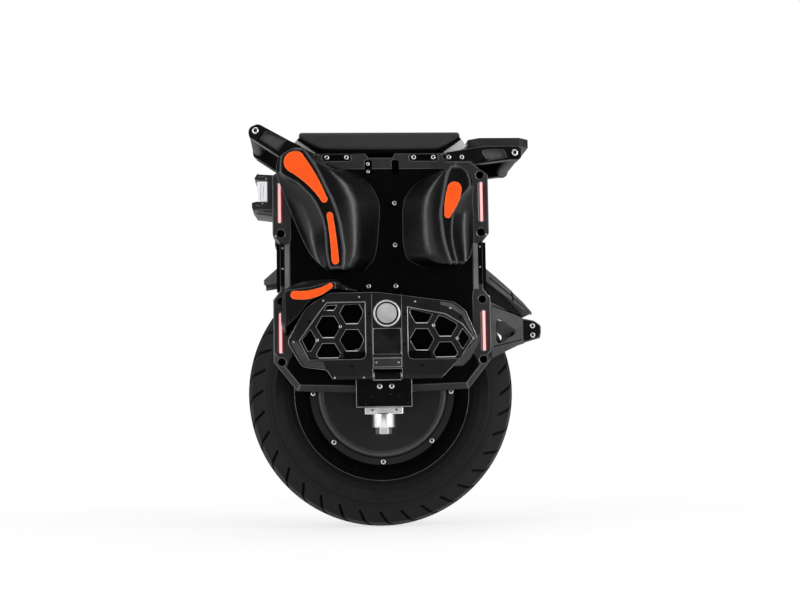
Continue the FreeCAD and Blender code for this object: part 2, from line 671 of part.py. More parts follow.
def make_motor_cover():
    """Right-hand cover: bolted ring, raised disc and bearing seat."""
    ring_face = RIM_HALF + COVER_RING
    disc = COVER_RADIUS - COVER_RING_WIDTH
    hub = BEARING_RADIUS + HUB_WALL
    return turned([(RIM_HALF, BEARING_RADIUS), (RIM_HALF, COVER_RADIUS), (ring_face, COVER_RADIUS),
                   (ring_face, disc + COVER_STEP), (COVER_FACE, disc), (COVER_FACE, hub), (HUB_FACE, hub),
                   (HUB_FACE, BEARING_RADIUS)])


def cover_bolts():
    """Button heads on the bolted ring of the left cover."""
    radius = COVER_RADIUS - COVER_BOLT_INSET
    heads = []
    for index in range(COVER_BOLTS):
        angle = 2.0 * math.pi * index / COVER_BOLTS
        x = radius * math.sin(angle)
        z = AXLE_Z + radius * math.cos(angle)
        heads.append(bolt_head(x, z, RIM_HALF + COVER_RING, BOLT_HEAD_RADIUS))
    return heads


def make_bearing():
    start = HUB_FACE - BEARING_WIDTH
    bore = AXLE_BODY_RADIUS + RUN_FIT
    outer = BEARING_RADIUS - PRESS_FIT
    return turned([(start, bore), (HUB_FACE, bore), (HUB_FACE, outer), (start, outer)])


def make_valve():
    """Valve stem on the rim's left side, between the flange and the motor cover."""
    radius = (COVER_RADIUS + WEB_STEP + BEAD_RADIUS) / 2.0
    foot = RIM_HALF + FLANGE_WALL / 2.0 + VALVE_LIFT
    valve = plate(ring(0, AXLE_Z + radius, VALVE_RADIUS, HEAD_SIDES), -foot, -foot - VALVE_LENGTH)
    valve.rotate(Vector(0, 0, AXLE_Z), Vector(0, 1, 0), VALVE_TURN)
    return valve


def make_magnets():
    outer = DRUM_RADIUS - PRESS_FIT
    half = MAGNET_WIDTH / 2.0
    return turned(symmetric([(half, outer - MAGNET_DEPTH), (half, outer)]))


def make_wheel():
    cover = make_motor_cover()
    bearing = make_bearing()
    save("tyre", make_tyre())
    save("rim", make_rim())
    save("motor_covers", *both([cover]))
    save("motor_cover_bolts", *both(cover_bolts()))
    save("rotor_magnets", make_magnets())
    save("wheel_bearings", *both([bearing]))
    save("valve_stem", make_valve())


# Axle and suspension

def make_axle():
    body = BLOCK_INNER_Y - SEAT_GAP
    end = LEG_Y - SLEEVE_RADIUS - AXLE_END_GAP
    return turned(symmetric([(end, 0.0), (end, AXLE_END_RADIUS - AXLE_CHAMFER),
                             (end - AXLE_CHAMFER, AXLE_END_RADIUS), (body, AXLE_END_RADIUS),
                             (body, AXLE_BODY_RADIUS)]))


def make_stator():
    outer = DRUM_RADIUS - PRESS_FIT - MAGNET_DEPTH - AIR_GAP
    half = MAGNET_WIDTH / 2.0 - STATOR_INSET
    return turned(symmetric([(half, AXLE_BODY_RADIUS + PRESS_FIT), (half, outer)]))


def make_axle_block():
    """Left block: clamps the axle's end and carries the sleeve that slides on the guide tube."""
    body = block(-BLOCK_HALF_X, BLOCK_HALF_X, -BLOCK_INNER_Y, -BLOCK_OUTER_Y, BLOCK_BOTTOM, BLOCK_TOP)
    axle_hole = across(AXLE_END_RADIUS + PRESS_FIT, -BLOCK_INNER_Y + BITE, -LEG_Y, 0, AXLE_Z)
    sleeve_hole = upright(SLEEVE_RADIUS + PRESS_FIT, BLOCK_BOTTOM - BITE, BLOCK_TOP + BITE)
    return body.cut([axle_hole, sleeve_hole])


def make_crown():
    """Left crown: holds the guide tube's upper end behind the side panel."""
    body = block(-BLOCK_HALF_X, BLOCK_HALF_X, -RAIL_INNER_Y, -PANEL_INNER_Y + SEAT_GAP,
                 CROWN_BOTTOM, CROWN_TOP)
    return body.cut(upright(TUBE_RADIUS + PRESS_FIT, CROWN_BOTTOM - BITE, CROWN_BOTTOM + TUBE_SEAT))


def make_hanger():
    """Left hanger: outer plate, floor under the axle block and the pedal's hinge knuckle."""
    wall = block(-HANGER_HALF_X, HANGER_HALF_X, -HANGER_INNER_Y, -HANGER_OUTER_Y, HANGER_BOTTOM, HANGER_TOP)
    half_x = CAP_LENGTH / 2.0 + HANGER_FLOOR_SIDE
    floor_top = HANGER_BOTTOM + HANGER_FLOOR
    base = block(-half_x, half_x, -LEG_Y + CAP_WIDTH / 2.0, -HANGER_INNER_Y - BITE, HANGER_BOTTOM, floor_top)
    hole = upright(TUBE_RADIUS + PRESS_FIT, HANGER_BOTTOM - BITE, floor_top + BITE)
    start = PEDAL_X - KNUCKLE_HALF
    end = PEDAL_X + KNUCKLE_HALF
    barrel = along(HINGE_RADIUS, start, end, -HINGE_Y, HINGE_Z)
    web = block(start, end, -HANGER_OUTER_Y + BITE, -HINGE_Y, HINGE_Z - HINGE_RADIUS, HINGE_Z)
    eye = along(PIN_RADIUS + PRESS_FIT, start - BITE, end + BITE, -HINGE_Y, HINGE_Z)
    return wall.fuse([base, barrel, web]).cut([hole, eye]).removeSplitter()


def make_rebound_cap():
    """Left cap under the hanger: flange, cylinder and hexagon, with a seat for the guide tube."""
    half_x = CAP_LENGTH / 2.0
    half_y = CAP_WIDTH / 2.0
    flange = block(-half_x, half_x, -LEG_Y - half_y, -LEG_Y + half_y, CAP_FLANGE_Z, HANGER_BOTTOM)
    foot = CAP_FLANGE_Z - CAP_HEIGHT
    barrel = upright(CAP_RADIUS, foot, CAP_FLANGE_Z + BITE)
    nut = slab(hexagon(0, -LEG_Y, CAP_HEX), foot - CAP_HEX_HEIGHT, foot + BITE)
    seat = upright(TUBE_RADIUS + PRESS_FIT, TUBE_BOTTOM, HANGER_BOTTOM + BITE)
    return flange.fuse([barrel, nut]).cut(seat).removeSplitter()


def make_suspension():
    hanger = make_hanger()
    pin = along(PIN_RADIUS, PEDAL_X - PIN_HALF, PEDAL_X + PIN_HALF, -HINGE_Y, HINGE_Z)
    sleeve = pipe(SLEEVE_RADIUS, TUBE_RADIUS + RUN_FIT, BLOCK_BOTTOM, SLEEVE_TOP)
    tube = upright(TUBE_RADIUS, TUBE_BOTTOM, CROWN_BOTTOM + TUBE_SEAT)
    save("axle", make_axle())
    save("stator", make_stator())
    save("axle_blocks", *both([make_axle_block()]))
    save("air_spring_sleeves", *both([sleeve]))
    save("air_spring_cans", *both([pipe(CAN_RADIUS, CAN_BORE, CAN_BOTTOM, CROWN_BOTTOM)]))
    save("guide_tubes", *both([tube]))
    save("upper_crowns", *both([make_crown()]))
    save("hanger_left", hanger)
    save("hanger_right", mirrored(hanger))
    save("rebound_caps", *both([make_rebound_cap()]))
    save("hinge_pins", *both([pin]))


# Side frame

def rail_inside():
    """Inner edge of the rear rail, from the band down to the hanger."""
    return [
        (BAND_END_X, BAND_BOTTOM), (RAIL_INNER_X, UPPER_TOP - RAIL_CORNER),
        (RAIL_INNER_X, UPPER_BOTTOM - RAIL_BLEND),
        (WAIST_INNER_X, UPPER_BOTTOM - WAIST_RISE), (WAIST_INNER_X, LOWER_TOP + WAIST_RISE),
        (RAIL_INNER_X, LOWER_TOP + RAIL_BLEND), (RAIL_INNER_X, LOWER_BOTTOM - RAIL_CORNER),
        (GUARD_CORNER_X - GUARD_BLEND, GUARD_Z + GUARD_HEIGHT + GUARD_BLEND),
        (FOOT_X, GUARD_Z + GUARD_HEIGHT),
    ]


def rail_outside():
    """Outer edge of the rear rail, from the hanger up to the band."""
    return [
        (FOOT_X, GUARD_Z), (GUARD_CORNER_X, GUARD_Z + GUARD_CORNER_RISE), (BODY_HALF_X, LOWER_BOTTOM),
        (BODY_HALF_X, LOWER_TOP), (WAIST_HALF_X, LOWER_TOP + WAIST_RISE),
        (WAIST_HALF_X, UPPER_BOTTOM - WAIST_RISE), (BODY_HALF_X, UPPER_BOTTOM), (BODY_HALF_X, UPPER_TOP),
        (SHOULDER_X, SHOULDER_Z), (BAND_END_X, SHOULDER_Z),
    ]


def is_guard_edge(edge):
    """True for the lower outer edges of a left rail."""
    box = edge.BoundBox
    on_face = abs(box.YMax + FACE_Y) < 1e-6
    low = box.ZMax < LOWER_BOTTOM + 0.01 and box.ZMin < GUARD_Z + GUARD_CORNER_RISE + 0.01
    return on_face and low and edge.Length > GUARD_HEIGHT + BITE


def make_rail(side):
    """Left rail with a bevelled guard, light slots and round bolt pockets; side -1 is the front."""
    corners = [(side * x, z) for x, z in rail_outside() + rail_inside()]
    rail = plate(corners, -RAIL_INNER_Y, -FACE_Y)
    rail = rail.makeChamfer(GUARD_BEVEL, [edge for edge in rail.Edges if is_guard_edge(edge)])
    cutters = []
    for level in (LOWER_BOTTOM + LOWER_LIGHT_RISE, UPPER_BOTTOM + UPPER_LIGHT_RISE):
        cutters.append(capsule(side * (BODY_HALF_X - LIGHT_INSET), level, LIGHT_LENGTH, LIGHT_RADIUS,
                               -FACE_Y + LIGHT_DEPTH, -FACE_Y - BITE))
    pocket_x = side * (BODY_HALF_X - POCKET_INSET)
    for level in (LOWER_BOTTOM, LOWER_TOP - POCKET_EDGE, UPPER_BOTTOM + POCKET_EDGE, UPPER_TOP):
        corners = ring(pocket_x, level, POCKET_RADIUS, ROUND_SIDES)
        cutters.append(plate(corners, -FACE_Y + POCKET_DEPTH, -FACE_Y - BITE))
    return rail.cut(cutters)


def make_panel():
    """Left side panel: fills the rails' inside, leaves the hanger and the column cover free."""
    edge = rail_inside()
    right = [(x - SEAT_GAP, z) for x, z in edge[:6]]
    right += [(x - SEAT_GAP, z + SEAT_GAP) for x, z in edge[6:8]]
    right += [(FOOT_X, edge[8][1] + SEAT_GAP), (FOOT_X, HANGER_TOP + SEAT_GAP)]
    right[0] = (BAND_END_X, BAND_BOTTOM - SEAT_GAP)
    right[1] = (right[1][0], right[1][1] - SEAT_GAP)
    sheet = plate(symmetric(right), -PANEL_INNER_Y, -FACE_Y)
    return sheet.cut(block(-COLUMN_HALF_X, COLUMN_HALF_X, -PANEL_INNER_Y + BITE, -FACE_Y - BITE,
                           COLUMN_BOTTOM, BAND_BOTTOM + BITE))


def make_column_cover():
    half = COLUMN_HALF_X - SEAT_GAP
    corners = [(half, BAND_BOTTOM - SEAT_GAP), (half, COLUMN_BOTTOM + SEAT_GAP, COLUMN_CORNER)]
    return plate(symmetric(corners), -PANEL_INNER_Y, -FACE_Y)


def make_band():
    """Left top band with a centre notch, two bolt pockets and two slots."""
    end = BAND_END_X - SEAT_GAP
    right = [(end, BAND_BOTTOM), (end, SHOULDER_Z), (BAND_HALF_X + BAND_STEP, SHOULDER_Z),
             (BAND_HALF_X, BAND_TOP), (NOTCH_TOP / 2.0, BAND_TOP),
             (NOTCH_FOOT / 2.0, BAND_TOP - NOTCH_DEPTH)]
    band = plate(symmetric(right), -FACE_Y + BAND_DEPTH, -FACE_Y)
    pocket_x = BAND_HALF_X - BAND_POCKET_INSET
    pocket_z = BAND_TOP - BAND_POCKET_HEIGHT / 2.0 - BAND_POCKET_EDGE
    slot_z = (BAND_BOTTOM + BAND_TOP - NOTCH_DEPTH) / 2.0
    cutters = []
    for side in (-1, 1):
        cutters.append(flat_capsule(side * pocket_x, pocket_z, BAND_POCKET_LENGTH, BAND_POCKET_HEIGHT,
                                    -FACE_Y + BAND_POCKET_DEPTH, -FACE_Y - BITE))
        cutters.append(capsule(side * BAND_SLOT_X, slot_z, BAND_SLOT_LENGTH, BAND_SLOT_RADIUS,
                               -FACE_Y + BAND_SLOT_DEPTH, -FACE_Y - BITE))
    return band.cut(cutters)


def make_light_strips():
    """Four strips on the left side, sunk in the rails' slots."""
    strips = []
    for side in (-1, 1):
        for level in (LOWER_BOTTOM + LOWER_LIGHT_RISE, UPPER_BOTTOM + UPPER_LIGHT_RISE):
            strips.append(capsule(side * (BODY_HALF_X - LIGHT_INSET), level, LIGHT_LENGTH - 2.0 * SEAT_GAP,
                                  LIGHT_RADIUS - SEAT_GAP, -FACE_Y + LIGHT_DEPTH, -FACE_Y + LIGHT_SUNK))
    return strips


def make_side_frame():
    front = make_rail(-1)
    rear = make_rail(1)
    panel = make_panel()
    save("front_rail_left", front)
    save("front_rail_right", mirrored(front))
    save("rear_rail_left", rear)
    save("rear_rail_right", mirrored(rear))
    save("side_panel_left", panel)
    save("side_panel_right", mirrored(panel))
    save("column_covers", *both([make_column_cover()]))
    save("top_bands", *both([make_band()]))
    save("side_lights", *both(make_light_strips()))


def make_frame_bolts():
    """Bolt heads of both sides that stand on the frame."""
    heads = []
    column_x = COLUMN_HALF_X - COLUMN_BOLT_INSET
    for rise in COLUMN_BOLT_RISES:
        heads.append(bolt_head(column_x, COLUMN_BOTTOM + rise, FACE_Y, SMALL_HEAD_RADIUS))
    heads.append(bolt_head(-column_x, COLUMN_BOTTOM + COLUMN_BOLT_RISES[0], FACE_Y, SMALL_HEAD_RADIUS))
    for side in (-1, 1):
        x = PEDAL_X / 2.0 + side * HANGER_BOLT_X
        heads.append(bolt_head(x, HINGE_Z - HANGER_BOLT_DROP, HANGER_OUTER_Y, BOLT_HEAD_RADIUS))
    for x, z in placed(REAR_ROOT_BOLTS, SHOULDER_X, SHOULDER_Z):
        heads.append(bolt_head(x, z, ARM_OUTER_Y, SMALL_HEAD_RADIUS))
    heads.append(bolt_head(-SHOULDER_X - FRONT_REACH, SHOULDER_Z + FRONT_RISE, ARM_OUTER_Y, TIP_BOLT_RADIUS))
    heads.append(bolt_head(SHOULDER_X + REAR_REACH, SHOULDER_Z + REAR_RISE, ARM_OUTER_Y, TIP_BOLT_RADIUS))
    for x, z in placed(GUARD_BOLTS, BODY_HALF_X, AXLE_Z):
        heads.append(bolt_head(x, z, ARM_OUTER_Y, BOLT_HEAD_RADIUS))
    save("frame_bolts", *both(heads))


# Inside of the body

def make_inner_walls():
    """Left wall beside the wheel: a front, a rear and a header sheet round the axle's slot."""
    top = SHOULDER_Z - WALL_HEAD
    end = WAIST_HALF_X - WALL_INSET
    corners = [(WALL_SLOT_X, AXLE_Z + WALL_RISE), (GUARD_CORNER_X - WALL_CORNER, AXLE_Z + WALL_RISE),
               (end, LOWER_BOTTOM), (end, UPPER_TOP), (SHOULDER_X - WALL_CORNER, top), (WALL_SLOT_X, top)]
    walls = []
    for side in (-1, 1):
        walls.append(plate([(side * x, z) for x, z in corners], -WALL_INNER_Y, -WALL_OUTER_Y))
    header_x = WALL_SLOT_X - SEAT_GAP
    walls.append(block(-header_x, header_x, -WALL_INNER_Y, -WALL_OUTER_Y, CROWN_TOP + SLOT_HEAD, top))
    return walls


def make_arch():
    """Sheet over the wheel, round the axle's place at full travel."""
    inner = TYRE_RADIUS + ARCH_GAP
    outer = inner + ARCH_WALL
    half = math.asin((WAIST_HALF_X - ARCH_INSET) / outer)
    reach = WALL_INNER_Y - SEAT_GAP

    def at(distance, angle):
        return Vector(distance * math.sin(angle), -reach, RAISED_AXLE_Z + distance * math.cos(angle))

    edges = [
        Part.Arc(at(inner, -half), at(inner, 0), at(inner, half)).toShape(),
        Part.LineSegment(at(inner, half), at(outer, half)).toShape(),
        Part.Arc(at(outer, half), at(outer, 0), at(outer, -half)).toShape(),
        Part.LineSegment(at(outer, -half), at(inner, -half)).toShape(),
    ]
    return Part.Face(Part.Wire(edges)).extrude(Vector(0, 2.0 * reach, 0))


def make_batteries():
    """Front and rear pack of the left side."""
    near = WALL_SLOT_X + BATTERY_SLOT_GAP
    far = RAIL_INNER_X - BATTERY_RAIL_GAP
    packs = []
    for side in (-1, 1):
        packs.append(block(side * near, side * far, -RAIL_INNER_Y, -PANEL_INNER_Y + SEAT_GAP,
                           LOWER_BOTTOM - BATTERY_DROP, UPPER_TOP - BATTERY_HEAD))
    return packs


def make_control_box():
    half_x = SHOULDER_X - CONTROL_INSET
    half_y = WALL_INNER_Y - SEAT_GAP
    floor = RAISED_AXLE_Z + TYRE_RADIUS + ARCH_GAP + ARCH_WALL + SEAT_GAP
    return block(-half_x, half_x, -half_y, half_y, floor, BAND_TOP)


def make_inside():
    save("inner_walls", *both(make_inner_walls()))
    save("wheel_arch", make_arch())
    save("battery_packs", *both(make_batteries()))
    save("control_box", make_control_box())


# Front and rear covers

def cover_plates(side):
    """Centre plate between the rails, and a left wing over the rail's waist; -1 is the front."""
    near = side * COVER_NEAR_X
    far = side * COVER_FAR_X
    centre_y = RAIL_INNER_Y - SEAT_GAP
    centre = board(symmetric([(centre_y, COVER_BOTTOM), (centre_y, COVER_TOP, COVER_CORNER)]), near, far)
    wing = block(near, far, -RAIL_INNER_Y, -FACE_Y + COVER_WING_INSET, LOWER_TOP + WAIST_RISE,
                 UPPER_BOTTOM - WAIST_RISE)
    return centre, wing


def make_end_covers():
    far = COVER_FAR_X
    centre, wing = cover_plates(-1)
    save("front_cover", centre, wing, mirrored(wing))
    centre, wing = cover_plates(1)
    bezel = along(BUTTON_RADIUS + BEZEL_WALL, far - BITE, far + BEZEL_WALL, BUTTON_Y, SOCKET_Z)
    hole = along(BUTTON_RADIUS + RUN_FIT, COVER_NEAR_X - BITE, far + BEZEL_WALL + BITE, BUTTON_Y, SOCKET_Z)
    save("rear_cover", centre.fuse(bezel).cut(hole).removeSplitter(), wing, mirrored(wing))
    socket = along(SOCKET_RADIUS, far, far + SOCKET_LENGTH, SOCKET_Y, SOCKET_Z)
    bore = along(SOCKET_BORE, far + SOCKET_FLOOR, far + SOCKET_LENGTH + BITE, SOCKET_Y, SOCKET_Z)
    save("charge_socket", socket.cut(bore))
    save("power_button", along(BUTTON_RADIUS, far - BUTTON_TRAVEL, far + BEZEL_WALL + BUTTON_PROUD, BUTTON_Y,
                               SOCKET_Z))
    level = COVER_TOP - TAIL_DROP
    corners = [(TAIL_HALF_Y, level - TAIL_HALF_Z, TAIL_CORNER),
               (TAIL_HALF_Y, level + TAIL_HALF_Z, TAIL_CORNER)]
    save("tail_light", board(symmetric(corners), far, far + TAIL_PROUD))


def make_headlight():
    housing = placed(LAMP_OUTLINE, -COVER_FAR_X, COVER_TOP, -1)
    lens = placed(LENS_OUTLINE, -COVER_FAR_X, COVER_TOP, -1)
    save("headlight_housing", plate(housing, -LAMP_HALF_Y, LAMP_HALF_Y))
    save("headlight_lens", plate(lens, -LENS_HALF_Y, LENS_HALF_Y))


# Seat

def seat_edge(offset):
    """Foot and edge of the seat's sloped end, moved outwards by offset."""
    foot = (SEAT_HALF_X - SEAT_FOOT_INSET + offset, SEAT_BOTTOM - offset)
    edge = (SEAT_HALF_X + offset * 0.6, SEAT_EDGE_Z - offset * 0.3)
    return foot, edge


def make_seat_pad():
    """Pad with sloped ends and bevelled long edges."""
    foot, edge = seat_edge(0.0)
    right = [foot + (SEAT_FOOT_ROUND,), edge + (SEAT_ROUND,), (SEAT_HALF_X, SEAT_TOP, SEAT_ROUND)]
    pad = plate(symmetric(right), -SEAT_HALF_Y, SEAT_HALF_Y)
    reach = SEAT_HALF_X + BITE
    side = SEAT_HALF_Y + BITE
    crown = SEAT_HALF_Y - SEAT_CROWN_INSET
    corners = [(SEAT_HALF_Y, SEAT_EDGE_Z), (side, SEAT_EDGE_Z), (side, SEAT_TOP + BITE),
               (crown, SEAT_TOP + BITE), (crown, SEAT_TOP)]
    bevel = board(corners, -reach, reach)
    return pad.cut([bevel, mirrored(bevel)])


def make_seat():
    save("seat_pad", make_seat_pad())
    inner = seat_edge(SOFT_GAP)
    outer = seat_edge(TRAY_WALL)
    tray_y = SEAT_HALF_Y - TRAY_SIDE_INSET
    tray = [outer[0] + (TRAY_ROUND,), outer[1], inner[1], inner[0] + (SEAT_FOOT_ROUND,)]
    save("seat_base", plate(symmetric(tray), -tray_y, tray_y))
    below = seat_edge(TRAY_WALL + SEAT_GAP)
    shell_y = ARM_INNER_Y - SHELL_SIDE_GAP
    tip = (SEAT_HALF_X + SHELL_TIP_REACH, SEAT_BOTTOM + SHELL_TIP_RISE)
    shell = [(BAND_END_X, SHELL_FLOOR, SHELL_ROUND), tip, (below[1][0] + BITE, below[1][1]),
             below[0] + (TRAY_ROUND,)]
    save("top_shell", plate(symmetric(shell), -shell_y, shell_y))


# Handles

def make_front_handle():
    tip_x = -SHOULDER_X - FRONT_REACH
    tip_z = SHOULDER_Z + FRONT_RISE
    radius = FRONT_TIP_RADIUS
    foot = SHOULDER_Z + SEAT_GAP
    corners = [(-ARM_ROOT_X, foot), (-ARM_ROOT_X, SHOULDER_Z + FRONT_ROOT_RISE)]
    corners += placed(FRONT_ARM_TOP, -SHOULDER_X, SHOULDER_Z, -1)
    corners += [(tip_x + 0.4 * radius, tip_z + 1.06 * radius, radius),
                (tip_x - 1.08 * radius, tip_z + 0.46 * radius, radius),
                (tip_x - 0.92 * radius, tip_z - 0.92 * radius, radius)]
    corners += placed([FRONT_ARM_UNDER], -SHOULDER_X, SHOULDER_Z, -1)
    corners.append((-SHOULDER_X - FRONT_ROOT_REACH, foot))
    arm = plate(corners, -ARM_INNER_Y, -ARM_OUTER_Y)
    panel = plate(placed(FRONT_ARM_PANEL, -SHOULDER_X, SHOULDER_Z, -1), -ARM_OUTER_Y + ARM_PANEL_DEPTH,
                  -ARM_OUTER_Y - BITE)
    save("front_handle_arms", *both([arm.cut(panel)]))
    reach = ARM_INNER_Y - SEAT_GAP
    save("front_grip_bar", across(BAR_RADIUS, -reach, reach, tip_x, tip_z))


def make_rear_handle():
    tip_x = SHOULDER_X + REAR_REACH
    tip_z = SHOULDER_Z + REAR_RISE
    radius = REAR_TIP_RADIUS
    foot = SHOULDER_Z + SEAT_GAP
    top = tip_z + radius - SEAT_GAP
    slope_z = SHOULDER_Z - REAR_ROOT_REACH * SHOULDER_RISE / SHOULDER_RUN + ARM_RAIL_GAP
    corners = [(ARM_ROOT_X, foot), (ARM_ROOT_X, SHOULDER_Z + REAR_ROOT_RISE)]
    corners += placed([REAR_ARM_TOP], SHOULDER_X, SHOULDER_Z)
    corners += [(SHOULDER_X + REAR_ARM_SEAT, top), (tip_x + radius, top, 0.75 * radius),
                (tip_x + radius, tip_z - radius, 0.8 * radius), (tip_x - 0.45 * radius, tip_z - radius, 6.0)]
    corners += placed([REAR_ARM_UNDER], SHOULDER_X, SHOULDER_Z)
    corners += [(SHOULDER_X + REAR_ROOT_REACH, slope_z), (SHOULDER_X + ARM_RAIL_GAP, foot)]
    arm = plate(corners, -ARM_INNER_Y, -ARM_OUTER_Y)
    panel = plate(placed(REAR_ARM_PANEL, SHOULDER_X, SHOULDER_Z), -ARM_OUTER_Y + ARM_PANEL_DEPTH,
                  -ARM_OUTER_Y - BITE)
    save("rear_handle_arms", *both([arm.cut(panel)]))
    reach = ARM_INNER_Y - SEAT_GAP
    save("rear_grip_bar", across(BAR_RADIUS, -reach, reach, tip_x, tip_z))
    near = SHOULDER_X - GRIP_PLATE_ROOT
    far = tip_x + GRIP_PLATE_REACH
    half = ARM_OUTER_Y - GRIP_PLATE_SIDE_INSET
    cut = GRIP_PLATE_CORNER
    corners = [(near, -half + cut), (near + cut, -half), (far - cut, -half), (far, -half + cut),
               (far, half - cut), (far - cut, half), (near + cut, half), (near, half - cut)]
    save("rear_grip_plate", slab(corners, top + SEAT_GAP, top + SEAT_GAP + GRIP_PLATE_THICK))


# Rear guard and mudguards

def make_rear_guard():
    """Triangular arms that stand on the lower rear rails, with a bar at their tips."""
    foot = BODY_HALF_X + SEAT_GAP
    corners = [(foot, AXLE_Z + GUARD_ARM_FOOT[0])] + placed(GUARD_ARM_OUTLINE, BODY_HALF_X, AXLE_Z)
    corners.append((foot, AXLE_Z + GUARD_ARM_FOOT[1]))
    arm = plate(corners, -ARM_INNER_Y, -ARM_OUTER_Y)
    opening = plate(placed(GUARD_ARM_OPENING, BODY_HALF_X, AXLE_Z), -ARM_INNER_Y + BITE, -ARM_OUTER_Y - BITE)
    save("rear_guard_arms", *both([arm.cut(opening)]))
    near = BODY_HALF_X + GUARD_BAR_REACH
    far = near + GUARD_BAR_DEPTH
    low = AXLE_Z + GUARD_BAR_RISE
    high = low + GUARD_BAR_HEIGHT
    corners = [(near, low), (far, low), (far, high), (near, high)]
    reach = ARM_INNER_Y - SEAT_GAP
    save("rear_guard_bar", plate([corner + (GUARD_BAR_ROUND,) for corner in corners], -reach, reach))


def mudguard(crown, drops):
    """Sheet along the crown points (x, z) with side skirts that hang down by the drops."""
    skirt_inner = TYRE_HALF + MUD_SIDE_GAP
    skirt_outer = skirt_inner + MUD_WALL
    under = [(x, z - MUD_WALL) for x, z in reversed(crown)]
    sheet = plate(crown + under, -skirt_outer, skirt_outer)
    foot = [(x, z - drop) for (x, z), drop in zip(reversed(crown), reversed(drops))]
    left = plate(crown + foot, -skirt_inner, -skirt_outer)
    return sheet.fuse([left, mirrored(left)]).removeSplitter()


def rear_crown(turns):
    """Points over the raised tyre, from the rear cover to the flap's end."""
    root = (COVER_FAR_X + SEAT_GAP, COVER_BOTTOM + MUD_LAP)
    end = (BODY_HALF_X + FLAP_REACH, AXLE_Z + GUARD_BAR_RISE + GUARD_BAR_HEIGHT + FLAP_OVER_BAR)
    root_turn = math.atan2(root[0], root[1] - RAISED_AXLE_Z)
    end_turn = math.atan2(end[0], end[1] - RAISED_AXLE_Z)
    root_radius = math.hypot(root[0], root[1] - RAISED_AXLE_Z)
    end_radius = math.hypot(end[0], end[1] - RAISED_AXLE_Z)
    points = []
    for turn in turns:
        angle = root_turn + (end_turn - root_turn) * turn
        radius = root_radius + (end_radius - root_radius) * turn ** MUD_SPREAD
        points.append((radius * math.sin(angle), RAISED_AXLE_Z + radius * math.cos(angle)))
    return points


def make_mudguards():
    root_x = -COVER_FAR_X - SEAT_GAP
    root_z = COVER_BOTTOM + MUD_LAP
    front = [(root_x, root_z), (root_x - FRONT_MUD_REACH, root_z - FRONT_MUD_DROP)]
    save("front_mudguard", mudguard(front, FRONT_SKIRTS))
    save("rear_mudguard", mudguard(rear_crown(REAR_MUD_TURN), REAR_SKIRTS))
    flap = rear_crown(FLAP_TURN)
    flap[0] = (flap[0][0] + SEAT_GAP, flap[0][1] - FLAP_STEP)
    save("rear_mudflap", mudguard(flap, FLAP_SKIRTS))


# Leg pads

def pad_section(rise, values, ridge):
    """Level section: foot on the panel, slope to the crest, flat ridge to the dip, scoop out to the rim."""
    level, foot, crest, dip, rim, drop = values
    base = -PAD_FOOT
    lip = -PAD_FOOT - PAD_LIP
    rim_y = -ridge + drop
    lean = PAD_LEAN if rim < dip else -PAD_LEAN
    scoop = min(PAD_SCOOP, PAD_SCOOP_SHARE * abs(dip - rim))

    def at(x, y):
        return Vector(x, y, rise + level)

    slope_mid = at((foot + crest) / 2.0, (lip - ridge) / 2.0 - PAD_BULGE)
    scoop_mid = at((dip + rim) / 2.0, (rim_y - ridge) / 2.0 + scoop)
    edges = [
        Part.LineSegment(at(rim + lean, base), at(foot, base)).toShape(),
        Part.LineSegment(at(foot, base), at(foot, lip)).toShape(),
        Part.Arc(at(foot, lip), slope_mid, at(crest, -ridge)).toShape(),
        Part.LineSegment(at(crest, -ridge), at(dip, -ridge)).toShape(),
        Part.Arc(at(dip, -ridge), scoop_mid, at(rim, rim_y)).toShape(),
        Part.LineSegment(at(rim, rim_y), at(rim + lean, base)).toShape(),
    ]
    return Part.Wire(edges)


def lower_pad_section(values):
    """Upright section across the lower pad."""
    x, foot, ridge_from, ridge_to, top, rise = values
    ridge = FACE_Y + rise
    sag = min(LOWER_PAD_SAG, LOWER_PAD_SAG_SHARE * (top - ridge_to))

    def at(y, z):
        return Vector(PEDAL_X + x, -y, HINGE_Z + z)

    mid = at((PAD_FOOT + ridge) / 2.0 - sag, (top + ridge_to) / 2.0 - sag)
    edges = [
        Part.LineSegment(at(PAD_FOOT, top), at(PAD_FOOT, foot)).toShape(),
        Part.LineSegment(at(PAD_FOOT, foot), at(ridge, ridge_from)).toShape(),
        Part.LineSegment(at(ridge, ridge_from), at(ridge, ridge_to)).toShape(),
        Part.Arc(at(ridge, ridge_to), mid, at(PAD_FOOT, top)).toShape(),
    ]
    return Part.Wire(edges)


def loft(wires):
    """Solid through closed section wires, straight from one section to the next."""
    return Part.makeLoft(wires, True, True)


def make_insert(points, ridge):
    """Insert on the flat ridge of a left pad, bounded by arcs."""
    near = -ridge - SOFT_GAP
    edges = []
    for index in range(0, len(points), 2):
        three = [points[index], points[index + 1], points[(index + 2) % len(points)]]
        edges.append(Part.Arc(*[Vector(x, near, z) for x, z in three]).toShape())
    return Part.Face(Part.Wire(edges)).extrude(Vector(0, -INSERT_THICK, 0))


